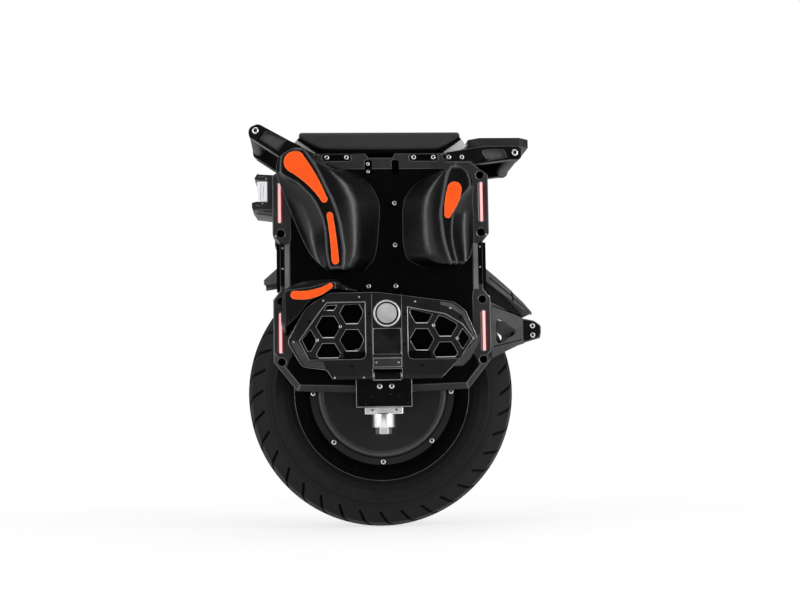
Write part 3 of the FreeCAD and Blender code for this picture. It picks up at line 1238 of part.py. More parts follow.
def make_pads():
    front_ridge = FACE_Y + FRONT_PAD_RISE
    rear_ridge = FACE_Y + REAR_PAD_RISE
    front = loft([pad_section(AXLE_Z, values, front_ridge) for values in FRONT_PAD_SECTIONS])
    rear = loft([pad_section(AXLE_Z, values, rear_ridge) for values in REAR_PAD_SECTIONS])
    lower = loft([lower_pad_section(values) for values in LOWER_PAD_SECTIONS])
    save("upper_pads", *both([front]))
    save("rear_pads", *both([rear]))
    save("lower_pads", *both([lower]))
    inserts = [
        make_insert(placed(TEARDROP, 0.0, AXLE_Z), front_ridge),
        make_insert(placed(RIDGE_BAR, 0.0, AXLE_Z), front_ridge),
        make_insert(placed(REAR_DROP, 0.0, AXLE_Z), rear_ridge),
        make_insert(placed(LOWER_STRIP, PEDAL_X, HINGE_Z), FACE_Y + LOWER_PAD_RISE),
    ]
    save("pad_inserts", *both(inserts))


# Pedal

def drawn_in(points, inset):
    """Outline of a wing, each corner drawn in towards the middle."""
    middle_x = sum(point[0] for point in points) / len(points)
    middle_z = sum(point[1] for point in points) / len(points)
    moved = []
    for x, z in points:
        length = math.hypot(middle_x - x, middle_z - z)
        share = inset * math.sqrt(2.0) / length
        moved.append((x + (middle_x - x) * share, z + (middle_z - z) * share))
    return moved


def pedal_cells(clip):
    """Hexagonal windows of both wings, cut off at the wings' edges."""
    column = CELL_PITCH * math.sqrt(3.0) / 2.0
    smallest = CELL_SHARE * CELL_FLATS ** 2 * PEDAL_THICK
    cells = []
    for wing in (-1, 1):
        for step in range(CELL_COLUMNS):
            x = PEDAL_X + wing * (CELL_OFFSET + step * column)
            for row in range(-1, CELL_COLUMNS):
                z = HINGE_Z + CELL_RISE + (row + 0.5 * (step % 2)) * CELL_PITCH
                corners = hexagon(x, z, CELL_FLATS)
                cell = plate(corners, -PEDAL_INNER_Y + BITE, -PEDAL_OUTER_Y - BITE).common(clip)
                if cell.Volume > smallest:
                    cells.append(cell)
    return cells


def pedal_blank():
    """Left pedal's plate with a round hinge edge and a notch for the knuckle."""
    low = HINGE_Z - HINGE_RADIUS
    corners = [(PEDAL_X + PEDAL_FOOT_X[0], low)] + placed(PEDAL_OUTLINE, PEDAL_X, HINGE_Z)
    corners.append((PEDAL_X + PEDAL_FOOT_X[1], low))
    body = plate(corners, -PEDAL_INNER_Y, -PEDAL_OUTER_Y)
    box = body.BoundBox
    start = box.XMin - BITE
    end = box.XMax + BITE
    edge = block(start, end, -PEDAL_INNER_Y + BITE, -PEDAL_OUTER_Y - BITE, low - BITE, HINGE_Z)
    edge = edge.cut(along(HINGE_RADIUS, start, end, -HINGE_Y, HINGE_Z))
    reach = KNUCKLE_HALF + KNUCKLE_GAP
    notch = block(PEDAL_X - reach, PEDAL_X + reach, -PEDAL_INNER_Y + BITE, -PEDAL_OUTER_Y - BITE, low - BITE,
                  HINGE_Z + HINGE_RADIUS + KNUCKLE_HEAD)
    pin_reach = PIN_HALF + SEAT_GAP
    eye = along(PIN_RADIUS + RUN_FIT, PEDAL_X - pin_reach, PEDAL_X + pin_reach, -HINGE_Y, HINGE_Z)
    return body.cut([edge, notch, eye])


def magnet_block(gap, outer):
    """Magnet bar on the spine's foot, grown sideways by gap, up to the plane y = -outer."""
    half_x = MAGNET_LENGTH / 2.0 + gap
    half_z = MAGNET_HEIGHT / 2.0 + gap
    level = HINGE_Z + MAGNET_RISE
    return block(PEDAL_X - half_x, PEDAL_X + half_x, -PEDAL_OUTER_Y + MAGNET_SUNK, -outer, level - half_z,
                 level + half_z)


def make_pedal():
    """Left pedal: recessed wings with honeycomb windows, spine with a recess, magnet seat and disc."""
    outer = PEDAL_OUTER_Y
    wings = [placed(WING_LEFT, PEDAL_X, HINGE_Z), placed(WING_RIGHT, PEDAL_X, HINGE_Z)]
    pockets = [plate(wing, -outer + WING_DEPTH, -outer - BITE) for wing in wings]
    clips = [plate(drawn_in(wing, CELL_RIM), -PEDAL_INNER_Y + BITE, -outer - BITE) for wing in wings]
    half = SPINE_RECESS_WIDTH / 2.0
    recess = block(PEDAL_X - half, PEDAL_X + half, -outer + SPINE_RECESS_DEPTH, -outer - BITE,
                   HINGE_Z + SPINE_RECESS_FROM, HINGE_Z + SPINE_RECESS_TO)
    seat = magnet_block(SEAT_GAP, outer + BITE)
    cells = pedal_cells(Part.makeCompound(clips))
    body = pedal_blank().cut([recess, seat] + pockets + cells)
    disc = across(DISC_RADIUS, -outer + BITE, -outer - DISC_PROUD, PEDAL_X, HINGE_Z + DISC_RISE)
    return body.fuse(disc).removeSplitter()


def make_pedals():
    pedal = make_pedal()
    magnet = magnet_block(0.0, PEDAL_OUTER_Y + MAGNET_PROUD)
    save("pedal_left", pedal)
    save("pedal_right", mirrored(pedal))
    save("pedal_magnet_left", magnet)
    save("pedal_magnet_right", mirrored(magnet))


os.makedirs("parts", exist_ok=True)
make_wheel()
make_suspension()
make_side_frame()
make_frame_bolts()
make_inside()
make_end_covers()
make_headlight()
make_seat()
make_front_handle()
make_rear_handle()
make_rear_guard()
make_mudguards()
make_pads()
make_pedals()
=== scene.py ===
import math

import bmesh
import bpy
import numpy as np
from mathutils import Matrix, Vector


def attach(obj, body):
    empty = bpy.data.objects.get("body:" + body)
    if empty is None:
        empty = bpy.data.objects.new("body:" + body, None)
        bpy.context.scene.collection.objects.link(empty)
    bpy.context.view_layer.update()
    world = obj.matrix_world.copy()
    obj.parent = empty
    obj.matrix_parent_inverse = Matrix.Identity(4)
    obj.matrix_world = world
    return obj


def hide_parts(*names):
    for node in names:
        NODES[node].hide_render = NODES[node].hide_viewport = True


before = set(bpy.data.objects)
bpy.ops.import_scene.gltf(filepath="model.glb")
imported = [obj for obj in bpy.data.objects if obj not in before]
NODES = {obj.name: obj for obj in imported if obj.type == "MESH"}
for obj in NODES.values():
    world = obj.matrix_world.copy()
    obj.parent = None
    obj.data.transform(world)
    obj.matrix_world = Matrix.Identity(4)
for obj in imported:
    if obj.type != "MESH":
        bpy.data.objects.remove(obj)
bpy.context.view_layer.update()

MM = 0.001

# Shared places in millimetres: x from the axle, heights from the ground, faces from the middle plane
AXLE = 250.0
HINGE = (6.0, 280.0)
STRIP_X = 187.0
STRIP_HALF = 4.5
FACE = 100.0
ARM_FACE = 98.0
HANGER_FACE = 111.0
COVER_FACE = 43.0
PEDAL_FACE = 129.5
WEB_FACE = 125.5

SHARP_ANGLE = math.radians(30.0)


# Nodes of materials

def new_material(name):
    """Empty node material with a Principled shader; returns material, nodes, link function and shader."""
    mat = bpy.data.materials.new(name)
    mat.use_nodes = True
    nodes = mat.node_tree.nodes
    return mat, nodes, mat.node_tree.links.new, nodes["Principled BSDF"]


def node(nodes, kind, **values):
    """New shader node; the values are its properties or those of its inputs."""
    made = nodes.new("ShaderNode" + kind)
    for key, value in values.items():
        if hasattr(made, key):
            setattr(made, key, value)
        else:
            made.inputs[key].default_value = value
    return made


def feed(nodes, link, kind, *sources, **values):
    """New node with sockets or numbers on its first inputs; returns its first output."""
    made = node(nodes, kind, **values)
    for socket, source in zip(made.inputs, sources):
        if isinstance(source, float):
            socket.default_value = source
        else:
            link(source, socket)
    return made.outputs[0]


def set_inputs(made, values):
    for key, value in values.items():
        made.inputs[key].default_value = value


def object_place(nodes):
    return node(nodes, "TexCoord").outputs["Object"]


def color_ramp(nodes, link, source, *stops):
    """Colour for a value, by stops of (position, colour) in rising order."""
    ramp = node(nodes, "ValToRGB")
    link(source, ramp.inputs["Fac"])
    elements = ramp.color_ramp.elements
    for element, (position, color) in zip(elements, (stops[0], stops[-1])):
        element.position = position
        element.color = (*color, 1.0)
    for position, color in stops[1:-1]:
        elements.new(position).color = (*color, 1.0)
    return ramp.outputs["Color"]


# Materials

def surface(name, color, rough, metal=0.0, grain=0.6, depth=0.25, tint=0.25, spread=0.12, specular=0.6,
            blotch=30.0, distance=0.4, stretch=None):
    """Moulded or coated surface: blotchy tint, uneven roughness and a fine grain; sizes in millimetres."""
    mat, nodes, link, shader = new_material(name)
    place = object_place(nodes)
    cloud = feed(nodes, link, "TexNoise", place, Scale=1.0 / (blotch * MM), Detail=4.0)
    low = [channel * (1.0 - tint) for channel in color]
    high = [min(1.0, channel * (1.0 + tint)) for channel in color]
    link(color_ramp(nodes, link, cloud, (0.3, low), (0.7, high)), shader.inputs["Base Color"])
    least = max(0.02, rough - spread)
    most = min(1.0, rough + spread)
    link(feed(nodes, link, "MapRange", cloud, 0.0, 1.0, least, most), shader.inputs["Roughness"])
    if stretch:
        place = feed(nodes, link, "Mapping", place, Scale=stretch)
    fine = feed(nodes, link, "TexNoise", place, Scale=1.0 / (grain * MM), Detail=2.0)
    bump = node(nodes, "Bump", Strength=depth, Distance=distance * MM)
    link(fine, bump.inputs["Height"])
    link(bump.outputs["Normal"], shader.inputs["Normal"])
    set_inputs(shader, {"Metallic": metal, "Specular IOR Level": specular})
    return mat


def brushed(name, color, rough, stretch=(1.0, 1.0, 40.0)):
    """Machined metal with fine parallel marks."""
    return surface(name, color, rough, metal=1.0, grain=2.0, depth=0.15, tint=0.12, spread=0.08,
                   stretch=stretch)


def knurled(name, color, rough):
    """Metal with crossed rows of small points."""
    mat = surface(name, color, rough, metal=0.5, tint=0.4, depth=0.9, distance=1.0)
    nodes = mat.node_tree.nodes
    link = mat.node_tree.links.new
    rows = []
    for turn in (45.0, -45.0):
        rotation = (0.0, math.radians(turn), 0.0)
        turned = feed(nodes, link, "Mapping", object_place(nodes), Rotation=rotation)
        wave = node(nodes, "TexWave", Scale=130.0)
        link(turned, wave.inputs["Vector"])
        rows.append(wave.outputs["Fac"])
    cross = feed(nodes, link, "Math", *rows, operation="MULTIPLY")
    link(cross, nodes["Bump"].inputs["Height"])
    return mat


def paint_edge_highlights(mat, color):
    """Lightens what a mesh marks with its edge attribute towards the colour: painted highlights along the
    pads' edges and painted sheen on the lower pads' hoods.
    """
    nodes = mat.node_tree.nodes
    link = mat.node_tree.links.new
    shader = nodes["Principled BSDF"]
    base = shader.inputs["Base Color"].links[0].from_socket
    mark = node(nodes, "Attribute", attribute_name="edge")
    mix = node(nodes, "Mix", data_type="RGBA")
    factor, first, second = mix.inputs[0], mix.inputs[6], mix.inputs[7]
    link(mark.outputs["Fac"], factor)
    link(base, first)
    second.default_value = (*color, 1.0)
    link(mix.outputs[2], shader.inputs["Base Color"])


def light_up(link, shader, color, strength, rough):
    """Gives a shader a colour that glows by itself."""
    link(color, shader.inputs["Base Color"])
    link(color, shader.inputs["Emission Color"])
    set_inputs(shader, {"Emission Strength": strength, "Roughness": rough})


def strip_light():
    """Frosted strip: pale core, red towards the edges, by distance from the strip's middle line."""
    mat, nodes, link, shader = new_material("strip_light")
    across = feed(nodes, link, "SeparateXYZ", object_place(nodes))
    size = feed(nodes, link, "Math", across, operation="ABSOLUTE")
    offset = feed(nodes, link, "Math", size, STRIP_X * MM, operation="SUBTRACT")
    gap = feed(nodes, link, "Math", offset, operation="ABSOLUTE")
    share = feed(nodes, link, "MapRange", gap, 0.0, STRIP_HALF * MM)
    color = color_ramp(nodes, link, share, (0.42, (0.9, 0.55, 0.53)), (0.66, (0.36, 0.03, 0.05)),
                       (0.95, (0.05, 0.002, 0.004)))
    light_up(link, shader, color, 0.35, 0.3)
    return mat


def glowing(name, color, strength, rough):
    """Lens with a faint ribbed pattern and its own glow."""
    mat, nodes, link, shader = new_material(name)
    wave = node(nodes, "TexWave", Scale=60.0, bands_direction="Y")
    link(object_place(nodes), wave.inputs["Vector"])
    dim = [channel * 0.8 for channel in color]
    ribs = color_ramp(nodes, link, wave.outputs["Fac"], (0.0, dim), (1.0, color))
    light_up(link, shader, ribs, strength, rough)
    return mat


TYRE = surface("tyre_rubber", (0.0062, 0.0062, 0.0067), 0.58, grain=1.4, depth=0.4, specular=0.17,
               blotch=20.0)
RIM = surface("rim_black", (0.0006, 0.0006, 0.0007), 0.4, grain=0.8, depth=0.1, specular=0.04)
MOTOR = surface("motor_black", (0.0078, 0.0065, 0.007), 0.48, grain=1.2, depth=0.2, specular=0.25)
# Lighter, glossier copy of the cover's black for its rounded lip: a painted highlight on the real lip
LIP_HIGHLIGHT = surface("motor_lip_painted_highlight", (0.024, 0.022, 0.022), 0.36, grain=1.2, depth=0.15, specular=0.62)
STEEL = brushed("steel", (0.75, 0.75, 0.77), 0.3)
SOCKET_DARK = surface("socket_dark", (0.037, 0.037, 0.04), 0.5, metal=0.6)
MAGNET = surface("magnet_steel", (0.37, 0.37, 0.4), 0.4, metal=0.8)
SILVER = brushed("machined_alu", (0.86, 0.86, 0.87), 0.3, stretch=(6.0, 6.0, 60.0))
ANODISED = surface("dark_alu", (0.0046, 0.0046, 0.0049), 0.4, grain=0.5, depth=0.2, specular=0.22)
BRIGHT = surface("machined_edge", (0.33, 0.33, 0.34), 0.36, metal=0.85, grain=1.0, depth=0.1, tint=0.3)
RIM_EDGE = surface("rim_edge", (0.14, 0.14, 0.145), 0.36, metal=0.7, grain=1.0, depth=0.1, tint=0.3)
FRAME = surface("frame_grey", (0.019, 0.019, 0.0197), 0.42, grain=0.5, depth=0.3, specular=0.22, tint=0.15)
FRAME_EDGE = surface("frame_edge", (0.056, 0.056, 0.059), 0.38, grain=0.8, depth=0.2, tint=0.35)
PANEL = surface("panel_black", (0.001, 0.001, 0.0011), 0.5, grain=0.7, depth=0.3, specular=0.035)
GRIP = surface("grip_black", (0.0075, 0.0075, 0.0081), 0.55, grain=1.5, depth=0.6, specular=0.3)
MUD = surface("mudguard_grey", (0.085, 0.085, 0.088), 0.55, grain=1.2, depth=0.6, specular=0.45)
MUD_DARK = surface("liner_black", (0.005, 0.005, 0.0052), 0.6, grain=1.2, depth=0.5, specular=0.18)
SHELL = surface("shell_grey", (0.56, 0.56, 0.57), 0.5, depth=0.2, tint=0.06)
SEAT = surface("seat_cover", (0.0185, 0.0185, 0.019), 0.68, grain=0.9, depth=0.6, specular=0.3, tint=0.12)
PAD = surface("pad_black", (0.0014, 0.0014, 0.0015), 0.28, grain=1.8, depth=0.5, specular=0.29, tint=0.2,
              spread=0.04, distance=0.25)
ORANGE = surface("pad_orange", (0.84, 0.087, 0.009), 0.55, grain=0.7, depth=0.3, tint=0.05, specular=0.12)
# Lighter orange for the inserts' rounded edges: a painted highlight
ORANGE_EDGE_HIGHLIGHT = surface("orange_painted_highlight", (0.95, 0.19, 0.055), 0.5, grain=0.7, depth=0.2, tint=0.05,
                      specular=0.25)
BATTERY = surface("battery_wrap", (0.062, 0.075, 0.11), 0.4)
SOCKET = surface("socket_metal", (0.75, 0.75, 0.77), 0.2, metal=1.0, tint=0.05)
BUTTON = surface("button_black", (0.005, 0.005, 0.005), 0.16, depth=0.05)
MAGBAR = brushed("magnet_bar", (0.066, 0.063, 0.061), 0.42, stretch=(2.0, 1.0, 60.0))
STRIP = strip_light()
TAIL = glowing("tail_red", (0.55, 0.02, 0.02), 0.1, 0.15)
LENS = glowing("lens_clear", (0.82, 0.83, 0.85), 0.5, 0.08)
ARM = surface("arm_black", (0.0018, 0.0018, 0.002), 0.4, grain=0.5, specular=0.11)
HANGER = surface("hanger_black", (0.0012, 0.0012, 0.0014), 0.4, grain=0.5, depth=0.2, specular=0.08)
GUARD = surface("guard_grey", (0.058, 0.058, 0.06), 0.42, depth=0.3, specular=0.43)
HOUSING = surface("housing_black", (0.021, 0.021, 0.022), 0.42, depth=0.15, specular=0.17)
# Near-black with no shine for dark seams and grooves, and for painted shade down in holes and behind the
# band's notch
HOLLOW = surface("hollow_black", (0.0007, 0.0007, 0.0007), 0.9, specular=0.0)
# Grey for the floors of the black arms' pockets: painted light on their sloped floors
LIT_POCKET_GREY = surface("painted_pocket_light", (0.055, 0.055, 0.057), 0.5, grain=0.8, depth=0.3, specular=0.3)
BORDER = surface("pedal_border", (0.032, 0.032, 0.0335), 0.42, specular=0.37)
# Darker rubber for bands on the tyre's walls: painted shade
TYRE_FOOT_SHADE = surface("tyre_foot", (0.0012, 0.0012, 0.0013), 0.6, grain=1.4, depth=0.3, specular=0.12)
TYRE_WALL_SHADE = surface("tyre_wall", (0.0034, 0.0034, 0.0037), 0.6, grain=1.4, depth=0.3, specular=0.15)
BADGE = surface("badge_grey", (0.36, 0.355, 0.36), 0.4, depth=0.1, specular=0.3)
# Light grey; on the rails' waist bands it is a painted highlight
WAIST_GREY = surface("waist_grey", (0.13, 0.13, 0.133), 0.42, grain=0.5, depth=0.2, specular=0.3)
# Dark red beside the side lights: their glow painted on the slots' edges
STRIP_GLOW = surface("strip_painted_glow", (0.085, 0.011, 0.015), 0.4, depth=0.1, specular=0.2)
# Pale grey: a painted highlight on the cells' lower edges, and the lens's lines
PALE = surface("pale_edge", (0.55, 0.55, 0.56), 0.3, depth=0.1, specular=0.3)
KNURL = knurled("knurl_grey", (0.062, 0.062, 0.065), 0.4)
# Lighter colour for the pads' marked edges: painted highlights, and painted sheen on the lower pads' hoods
paint_edge_highlights(PAD, (0.066, 0.067, 0.072))

RAILS = ["front_rail_left", "front_rail_right", "rear_rail_left", "rear_rail_right"]
LOOKS = {
    TYRE: ["tyre"], RIM: ["rim", "valve_stem"], MOTOR: ["motor_covers"],
    STEEL: ["motor_cover_bolts", "frame_bolts", "hinge_pins", "axle", "wheel_bearings", "guide_tubes"],
    MAGNET: ["rotor_magnets", "stator"], SILVER: ["rebound_caps"],
    ANODISED: ["axle_blocks", "air_spring_sleeves", "air_spring_cans", "upper_crowns",
               "pedal_left", "pedal_right", "control_box"],
    HANGER: ["hanger_left", "hanger_right"], HOUSING: ["headlight_housing"], GUARD: ["rear_guard_arms"],
    ARM: ["front_handle_arms", "rear_handle_arms"],
    FRAME: RAILS + ["top_bands", "rear_guard_bar"],
    PANEL: ["side_panel_left", "side_panel_right", "column_covers", "inner_walls", "wheel_arch",
            "front_cover", "rear_cover", "seat_base"],
    GRIP: ["front_grip_bar", "rear_grip_bar", "rear_grip_plate"],
    MUD: ["front_mudguard", "rear_mudguard", "rear_mudflap"], SHELL: ["top_shell"], SEAT: ["seat_pad"],
    PAD: ["upper_pads", "rear_pads", "lower_pads"], ORANGE: ["pad_inserts"], BATTERY: ["battery_packs"],
    STRIP: ["side_lights"], TAIL: ["tail_light"], LENS: ["headlight_lens"], SOCKET: ["charge_socket"],
    BUTTON: ["power_button"], MAGBAR: ["pedal_magnet_left", "pedal_magnet_right"],
}
ROUNDS = {
    1.8: RAILS,
    1.2: ["top_bands", "seat_base", "rear_handle_arms", "rear_guard_arms", "headlight_housing",
          "rear_grip_plate", "front_mudguard", "rear_mudguard", "rear_mudflap", "hanger_left",
          "hanger_right", "rebound_caps"],
    0.7: ["front_handle_arms", "pedal_left", "pedal_right", "pedal_magnet_left", "pedal_magnet_right",
          "pad_inserts", "top_shell", "front_cover", "rear_cover", "motor_covers", "rim", "tail_light",
          "headlight_lens", "charge_socket", "power_button", "axle_blocks"],
    0.3: ["side_panel_left", "side_panel_right", "column_covers", "side_lights"],
}
# Looks of the rounds; the orange inserts' lighter rounds are a painted highlight
EDGES = {
    HANGER: BRIGHT, GUARD: FRAME_EDGE, FRAME: FRAME_EDGE, ARM: FRAME_EDGE, ANODISED: BRIGHT, RIM: RIM_EDGE,
    ORANGE: ORANGE_EDGE_HIGHLIGHT,
}


def soften(obj, width, edge):
    """Rounds the sharp edges of a solid's mesh with modifiers; the rounds may have a finish of their own,
    and on the orange inserts their lighter orange is a painted highlight.
    """
    weld = obj.modifiers.new("weld", "WELD")
    weld.merge_threshold = 0.00002
    bevel = obj.modifiers.new("bevel", "BEVEL")
    bevel.width = width * MM
    bevel.segments = 2
    bevel.limit_method = "ANGLE"
    bevel.angle_limit = SHARP_ANGLE
    bevel.use_clamp_overlap = False
    if edge:
        obj.data.materials.append(edge)
        bevel.material = 1


def dress_solids():
    """Gives the solids their looks and their rounded edges."""
    for mat, names in LOOKS.items():
        for name in names:
            mesh = NODES[name].data
            mesh.materials.clear()
            mesh.materials.append(mat)
    for width, names in ROUNDS.items():
        for name in names:
            soften(NODES[name], width, EDGES.get(NODES[name].data.materials[0]))


dress_solids()


# Mesh helpers

def add_mesh(name, verts, faces, mat, marks=None):
    """New object from vertices in millimetres; marks are the vertices' edge attribute, the pads' painted
    highlight and sheen.
    """
    mesh = bpy.data.meshes.new(name)
    mesh.from_pydata([Vector(v) * MM for v in verts], [], faces)
    mesh.materials.append(mat)
    mesh.validate()
    work = bmesh.new()
    work.from_mesh(mesh)
    bmesh.ops.recalc_face_normals(work, faces=work.faces)
    for face in work.faces:
        face.smooth = True
    work.to_mesh(mesh)
    work.free()
    if marks is not None:
        layer = mesh.attributes.new("edge", "FLOAT", "POINT")
        layer.data.foreach_set("value", marks)
    obj = bpy.data.objects.new(name, mesh)
    bpy.context.scene.collection.objects.link(obj)
    return obj


def mirror_y(verts):
    return [(x, -y, z) for x, y, z in verts]


def smooth_curve(xs, ys):
    """Interpolation through the points with no overshoot."""
    xs = np.array(xs, float)
    ys = np.array(ys, float)
    steps = np.diff(xs)
    slopes = np.diff(ys) / steps
    ends = np.zeros(len(xs))
    ends[0] = slopes[0]
    ends[-1] = slopes[-1]
    for i in range(1, len(xs) - 1):
        if slopes[i - 1] * slopes[i] > 0:
            w1 = 2 * steps[i] + steps[i - 1]
            w2 = steps[i] + 2 * steps[i - 1]
            ends[i] = (w1 + w2) / (w1 / slopes[i - 1] + w2 / slopes[i])

    def value(x):
        i = int(np.clip(np.searchsorted(xs, x) - 1, 0, len(steps) - 1))
        t = (x - xs[i]) / steps[i]
        h = steps[i]
        return ((2 * t ** 3 - 3 * t ** 2 + 1) * ys[i] + (t ** 3 - 2 * t ** 2 + t) * h * ends[i]
                + (-2 * t ** 3 + 3 * t ** 2) * ys[i + 1] + (t ** 3 - t ** 2) * h * ends[i + 1])

    return value


def resample(points, count):
    """The same line with evenly spaced points."""
    points = np.array(points, float)
    lengths = np.concatenate([[0.0], np.cumsum(np.hypot(*np.diff(points, axis=0).T))])
    even = np.linspace(0.0, lengths[-1], count)
    return np.stack([np.interp(even, lengths, points[:, 0]), np.interp(even, lengths, points[:, 1])], axis=1)


def rounded(points, passes):
    """Line with its corners rounded; the ends stay."""
    points = points.copy()
    for _ in range(passes):
        points[1:-1] = points[1:-1] * 0.5 + (points[:-2] + points[2:]) * 0.25
    return points


def arc(a, mid, b, count):
    """Parabola from a to b that passes through mid."""
    t = np.linspace(0.0, 1.0, count)[:, None]
    a, mid, b = (np.array(p, float) for p in (a, mid, b))
    control = 2.0 * mid - 0.5 * (a + b)
    return (1 - t) ** 2 * a + 2 * t * (1 - t) * control + t ** 2 * b


def turns(count):
    """Evenly spaced angles round a circle."""
    return [math.tau * i / count for i in range(count)]


def disc(x, z, radius, count=32):
    return [(x + radius * math.cos(turn), z + radius * math.sin(turn)) for turn in turns(count)]


def ring_faces(count, steps):
    """Faces between closed rows of points, each row joined to the next."""
    faces = []
    for i in range(steps):
        for j in range(count):
            k = (j + 1) % count
            faces.append((i * count + j, i * count + k, (i + 1) * count + k, (i + 1) * count + j))
    return faces


def grid_mesh(rows):
    """Closed tube through rows of points, with its ends closed; returns vertices and faces."""
    count = len(rows[0])
    last = len(rows) - 1
    verts = [tuple(p) for row in rows for p in row]
    ends = [tuple(range(count)), tuple(last * count + j for j in reversed(range(count)))]
    return verts, ring_faces(count, last) + ends


# Leg pads

FOOT = FACE + 0.3
FRONT_RISE = 55.0
REAR_RISE = 50.0
LIP_RISE = 2.0
# Where the slope bends, as shares of its width and height
KNEE = (0.38, 0.88)
RIM_LEAN = 6.0
RIDGE_SAG = 0.8
SCOOP_DEPTH = 11.0
SCOOP_SHARE = 0.24
PAD_ROUND = 7.0
PAD_LEVELS = 90
PAD_POINTS = 260
LOWER_RISE = 34.0
LOWER_END = 0.3
LOWER_STATIONS = 120
LOWER_POINTS = 120
# Mark that lightens the lower pad's hood behind its ridge: painted sheen of light from above
HOOD_PAINTED_SHEEN = 0.22
# Rows of an upper pad: level above the axle, x of foot, crest, dip and rim, and the drop from ridge to rim
FRONT_PAD = (
    (220, -34, -73, -97, -103, 15), (250, -12, -71, -102, -131, 27), (295, -5, -76, -105, -153, 31),
    (340, -2, -88, -120, -171, 29), (375, -14, -104, -150, -184, 23), (400, -42, -116, -184, -192, 13),
    (425, -104, -131, -182, -188, 11), (443, -136, -143, -160, -164, 9),
)
REAR_PAD = (
    (228, 72, 124, 137, 147, 22), (248, 45, 117, 131, 163, 26), (285, 39, 109, 126, 170, 28),
    (321, 39, 106, 129, 170, 26), (350, 42, 110, 144, 168, 20), (375, 57, 115, 161, 169, 12),
    (395, 82, 120, 157, 163, 10), (410, 121, 127, 142, 146, 8),
)
# Rows of the lower pad, from the hinge: x, level of foot, ridge's start and stop and top, and the rise
LOWER_PAD = (
    (-192, 94, 102, 128, 134, 12), (-183, 74, 92, 154, 160, 34), (-166, 98, 103, 158, 169, 34),
    (-139, 132, 135, 161, 176, 34), (-116, 148, 150, 167, 177, 34), (-96, 154.5, 156.5, 170, 178, 34),
    (-72, 154.5, 157, 161, 164.5, 8), (-52, 154.5, 155.2, 156.2, 157, 2),
)


def end_shrink(position, low, high, radius):
    """How much a section draws in near the ends, which are rounded."""
    gap = min(position - low, high - position)
    if gap >= radius:
        return 0.0
    return radius - math.sqrt(max(0.0, radius ** 2 - (radius - gap) ** 2))


def end_levels(low, high, count, radius):
    """Levels between low and high, closer together at the ends."""
    turn = [radius * (1.0 - math.cos(math.radians(a))) for a in (4, 20, 38, 56, 74, 90)]
    return ([low + t for t in turn] + list(np.linspace(low + radius, high - radius, count)[1:-1])
            + [high - t for t in reversed(turn)])


def shrunk(line, amount, base):
    """Section drawn in by an amount towards its foot line and its middle."""
    if amount <= 0.0:
        return line
    middle = (line[:, 0].min() + line[:, 0].max()) / 2.0
    half = (line[:, 0].max() - line[:, 0].min()) / 2.0
    height = line[:, 1].max() - base
    result = line.copy()
    result[:, 0] = middle + (line[:, 0] - middle) * max(0.1, 1.0 - amount / half)
    result[:, 1] = base + (line[:, 1] - base) * max(0.1, 1.0 - amount / height)
    return result


def fade(distance, width):
    """1 at no distance, falling to nothing over a few widths."""
    return np.exp(-(distance / width) ** 2)


def distance_to(line, x, y):
    return np.hypot(line[:, 0] - x, line[:, 1] - y)


def beaded(line, corners, width, height):
    """Line with a small bead at each corner point; returns it with its edge marks, which raise the beads and
    paint a highlight along them.
    """
    marks = np.zeros(len(line))
    along = np.concatenate([[0.0], np.cumsum(np.hypot(*np.diff(line, axis=0).T))])
    for corner in corners:
        place = int(np.argmin(distance_to(line, *corner)))
        marks = np.maximum(marks, fade(along - along[place], width))
    result = line.copy()
    result[:, 1] += marks * height
    return result, marks


def column_curves(table):
    """Curves of the table's other columns over its first one."""
    first, *others = zip(*table)
    return [smooth_curve(first, column) for column in others]


def slope_line(foot, crest, lip, ridge):
    """The pad's bulging slope from its lip up to the crest."""
    lip_point = np.array((foot, lip))
    crest_point = np.array((crest, ridge))
    knee = np.array((crest + KNEE[0] * (foot - crest), lip + KNEE[1] * (ridge - lip)))
    low_bend = lip_point + 0.72 * (knee - lip_point)
    high_bend = knee + 0.5 * (crest_point - knee)
    bend = (low_bend + 2.0 * knee + high_bend) / 4.0
    return np.concatenate([[lip_point], arc(low_bend, bend, high_bend, 24)])


def upper_pad_rows(table, rise):
    """Rows of the left pad, as (x, y, z) with y outwards negative, and their edge marks: painted highlights
    along crest, dip, rim, foot and the ridge's ends.
    """
    curves = column_curves(table)
    low = table[0][0]
    high = table[-1][0]
    ridge = FACE + rise
    lip = FOOT + LIP_RISE
    rows = []
    marks = []
    for level in end_levels(low, high, PAD_LEVELS, PAD_ROUND):
        foot, crest, dip, rim, drop = [curve(level) for curve in curves]
        back = rim + (RIM_LEAN if rim < dip else -RIM_LEAN)
        rim_y = ridge - drop
        scoop = min(SCOOP_DEPTH, SCOOP_SHARE * abs(dip - rim))
        line = np.concatenate([
            [(foot, FOOT)],
            slope_line(foot, crest, lip, ridge),
            arc((crest, ridge), ((crest + dip) / 2.0, ridge - RIDGE_SAG), (dip, ridge), 10),
            arc((dip, ridge), ((dip + rim) / 2.0, (ridge + rim_y) / 2.0 - scoop), (rim, rim_y), 30)[1:],
            [(back, FOOT)],
        ])
        line = rounded(resample(line, PAD_POINTS), 6)
        line, edge = beaded(line, [(crest, ridge), (dip, ridge)], 1.9, 0.9)
        end_gap = min(level - low, high - level)
        inside = (line[:, 0] - crest) * (line[:, 0] - dip) < 0.0
        # Painted highlight round the ridge's ends, and along the rim and the foot
        edge = np.where(inside, np.maximum(edge, fade(end_gap - 4.0, 1.2)), edge)
        rim_edge = fade(distance_to(line, rim, rim_y), 1.5)
        foot_edge = fade(distance_to(line, foot, lip), 1.6)
        line = shrunk(line, end_shrink(level, low, high, PAD_ROUND), FOOT)
        rows.append([(x, -y, AXLE + level) for x, y in line])
        marks.append(np.maximum(edge, np.maximum(rim_edge, foot_edge)))
    return rows, np.concatenate(marks)


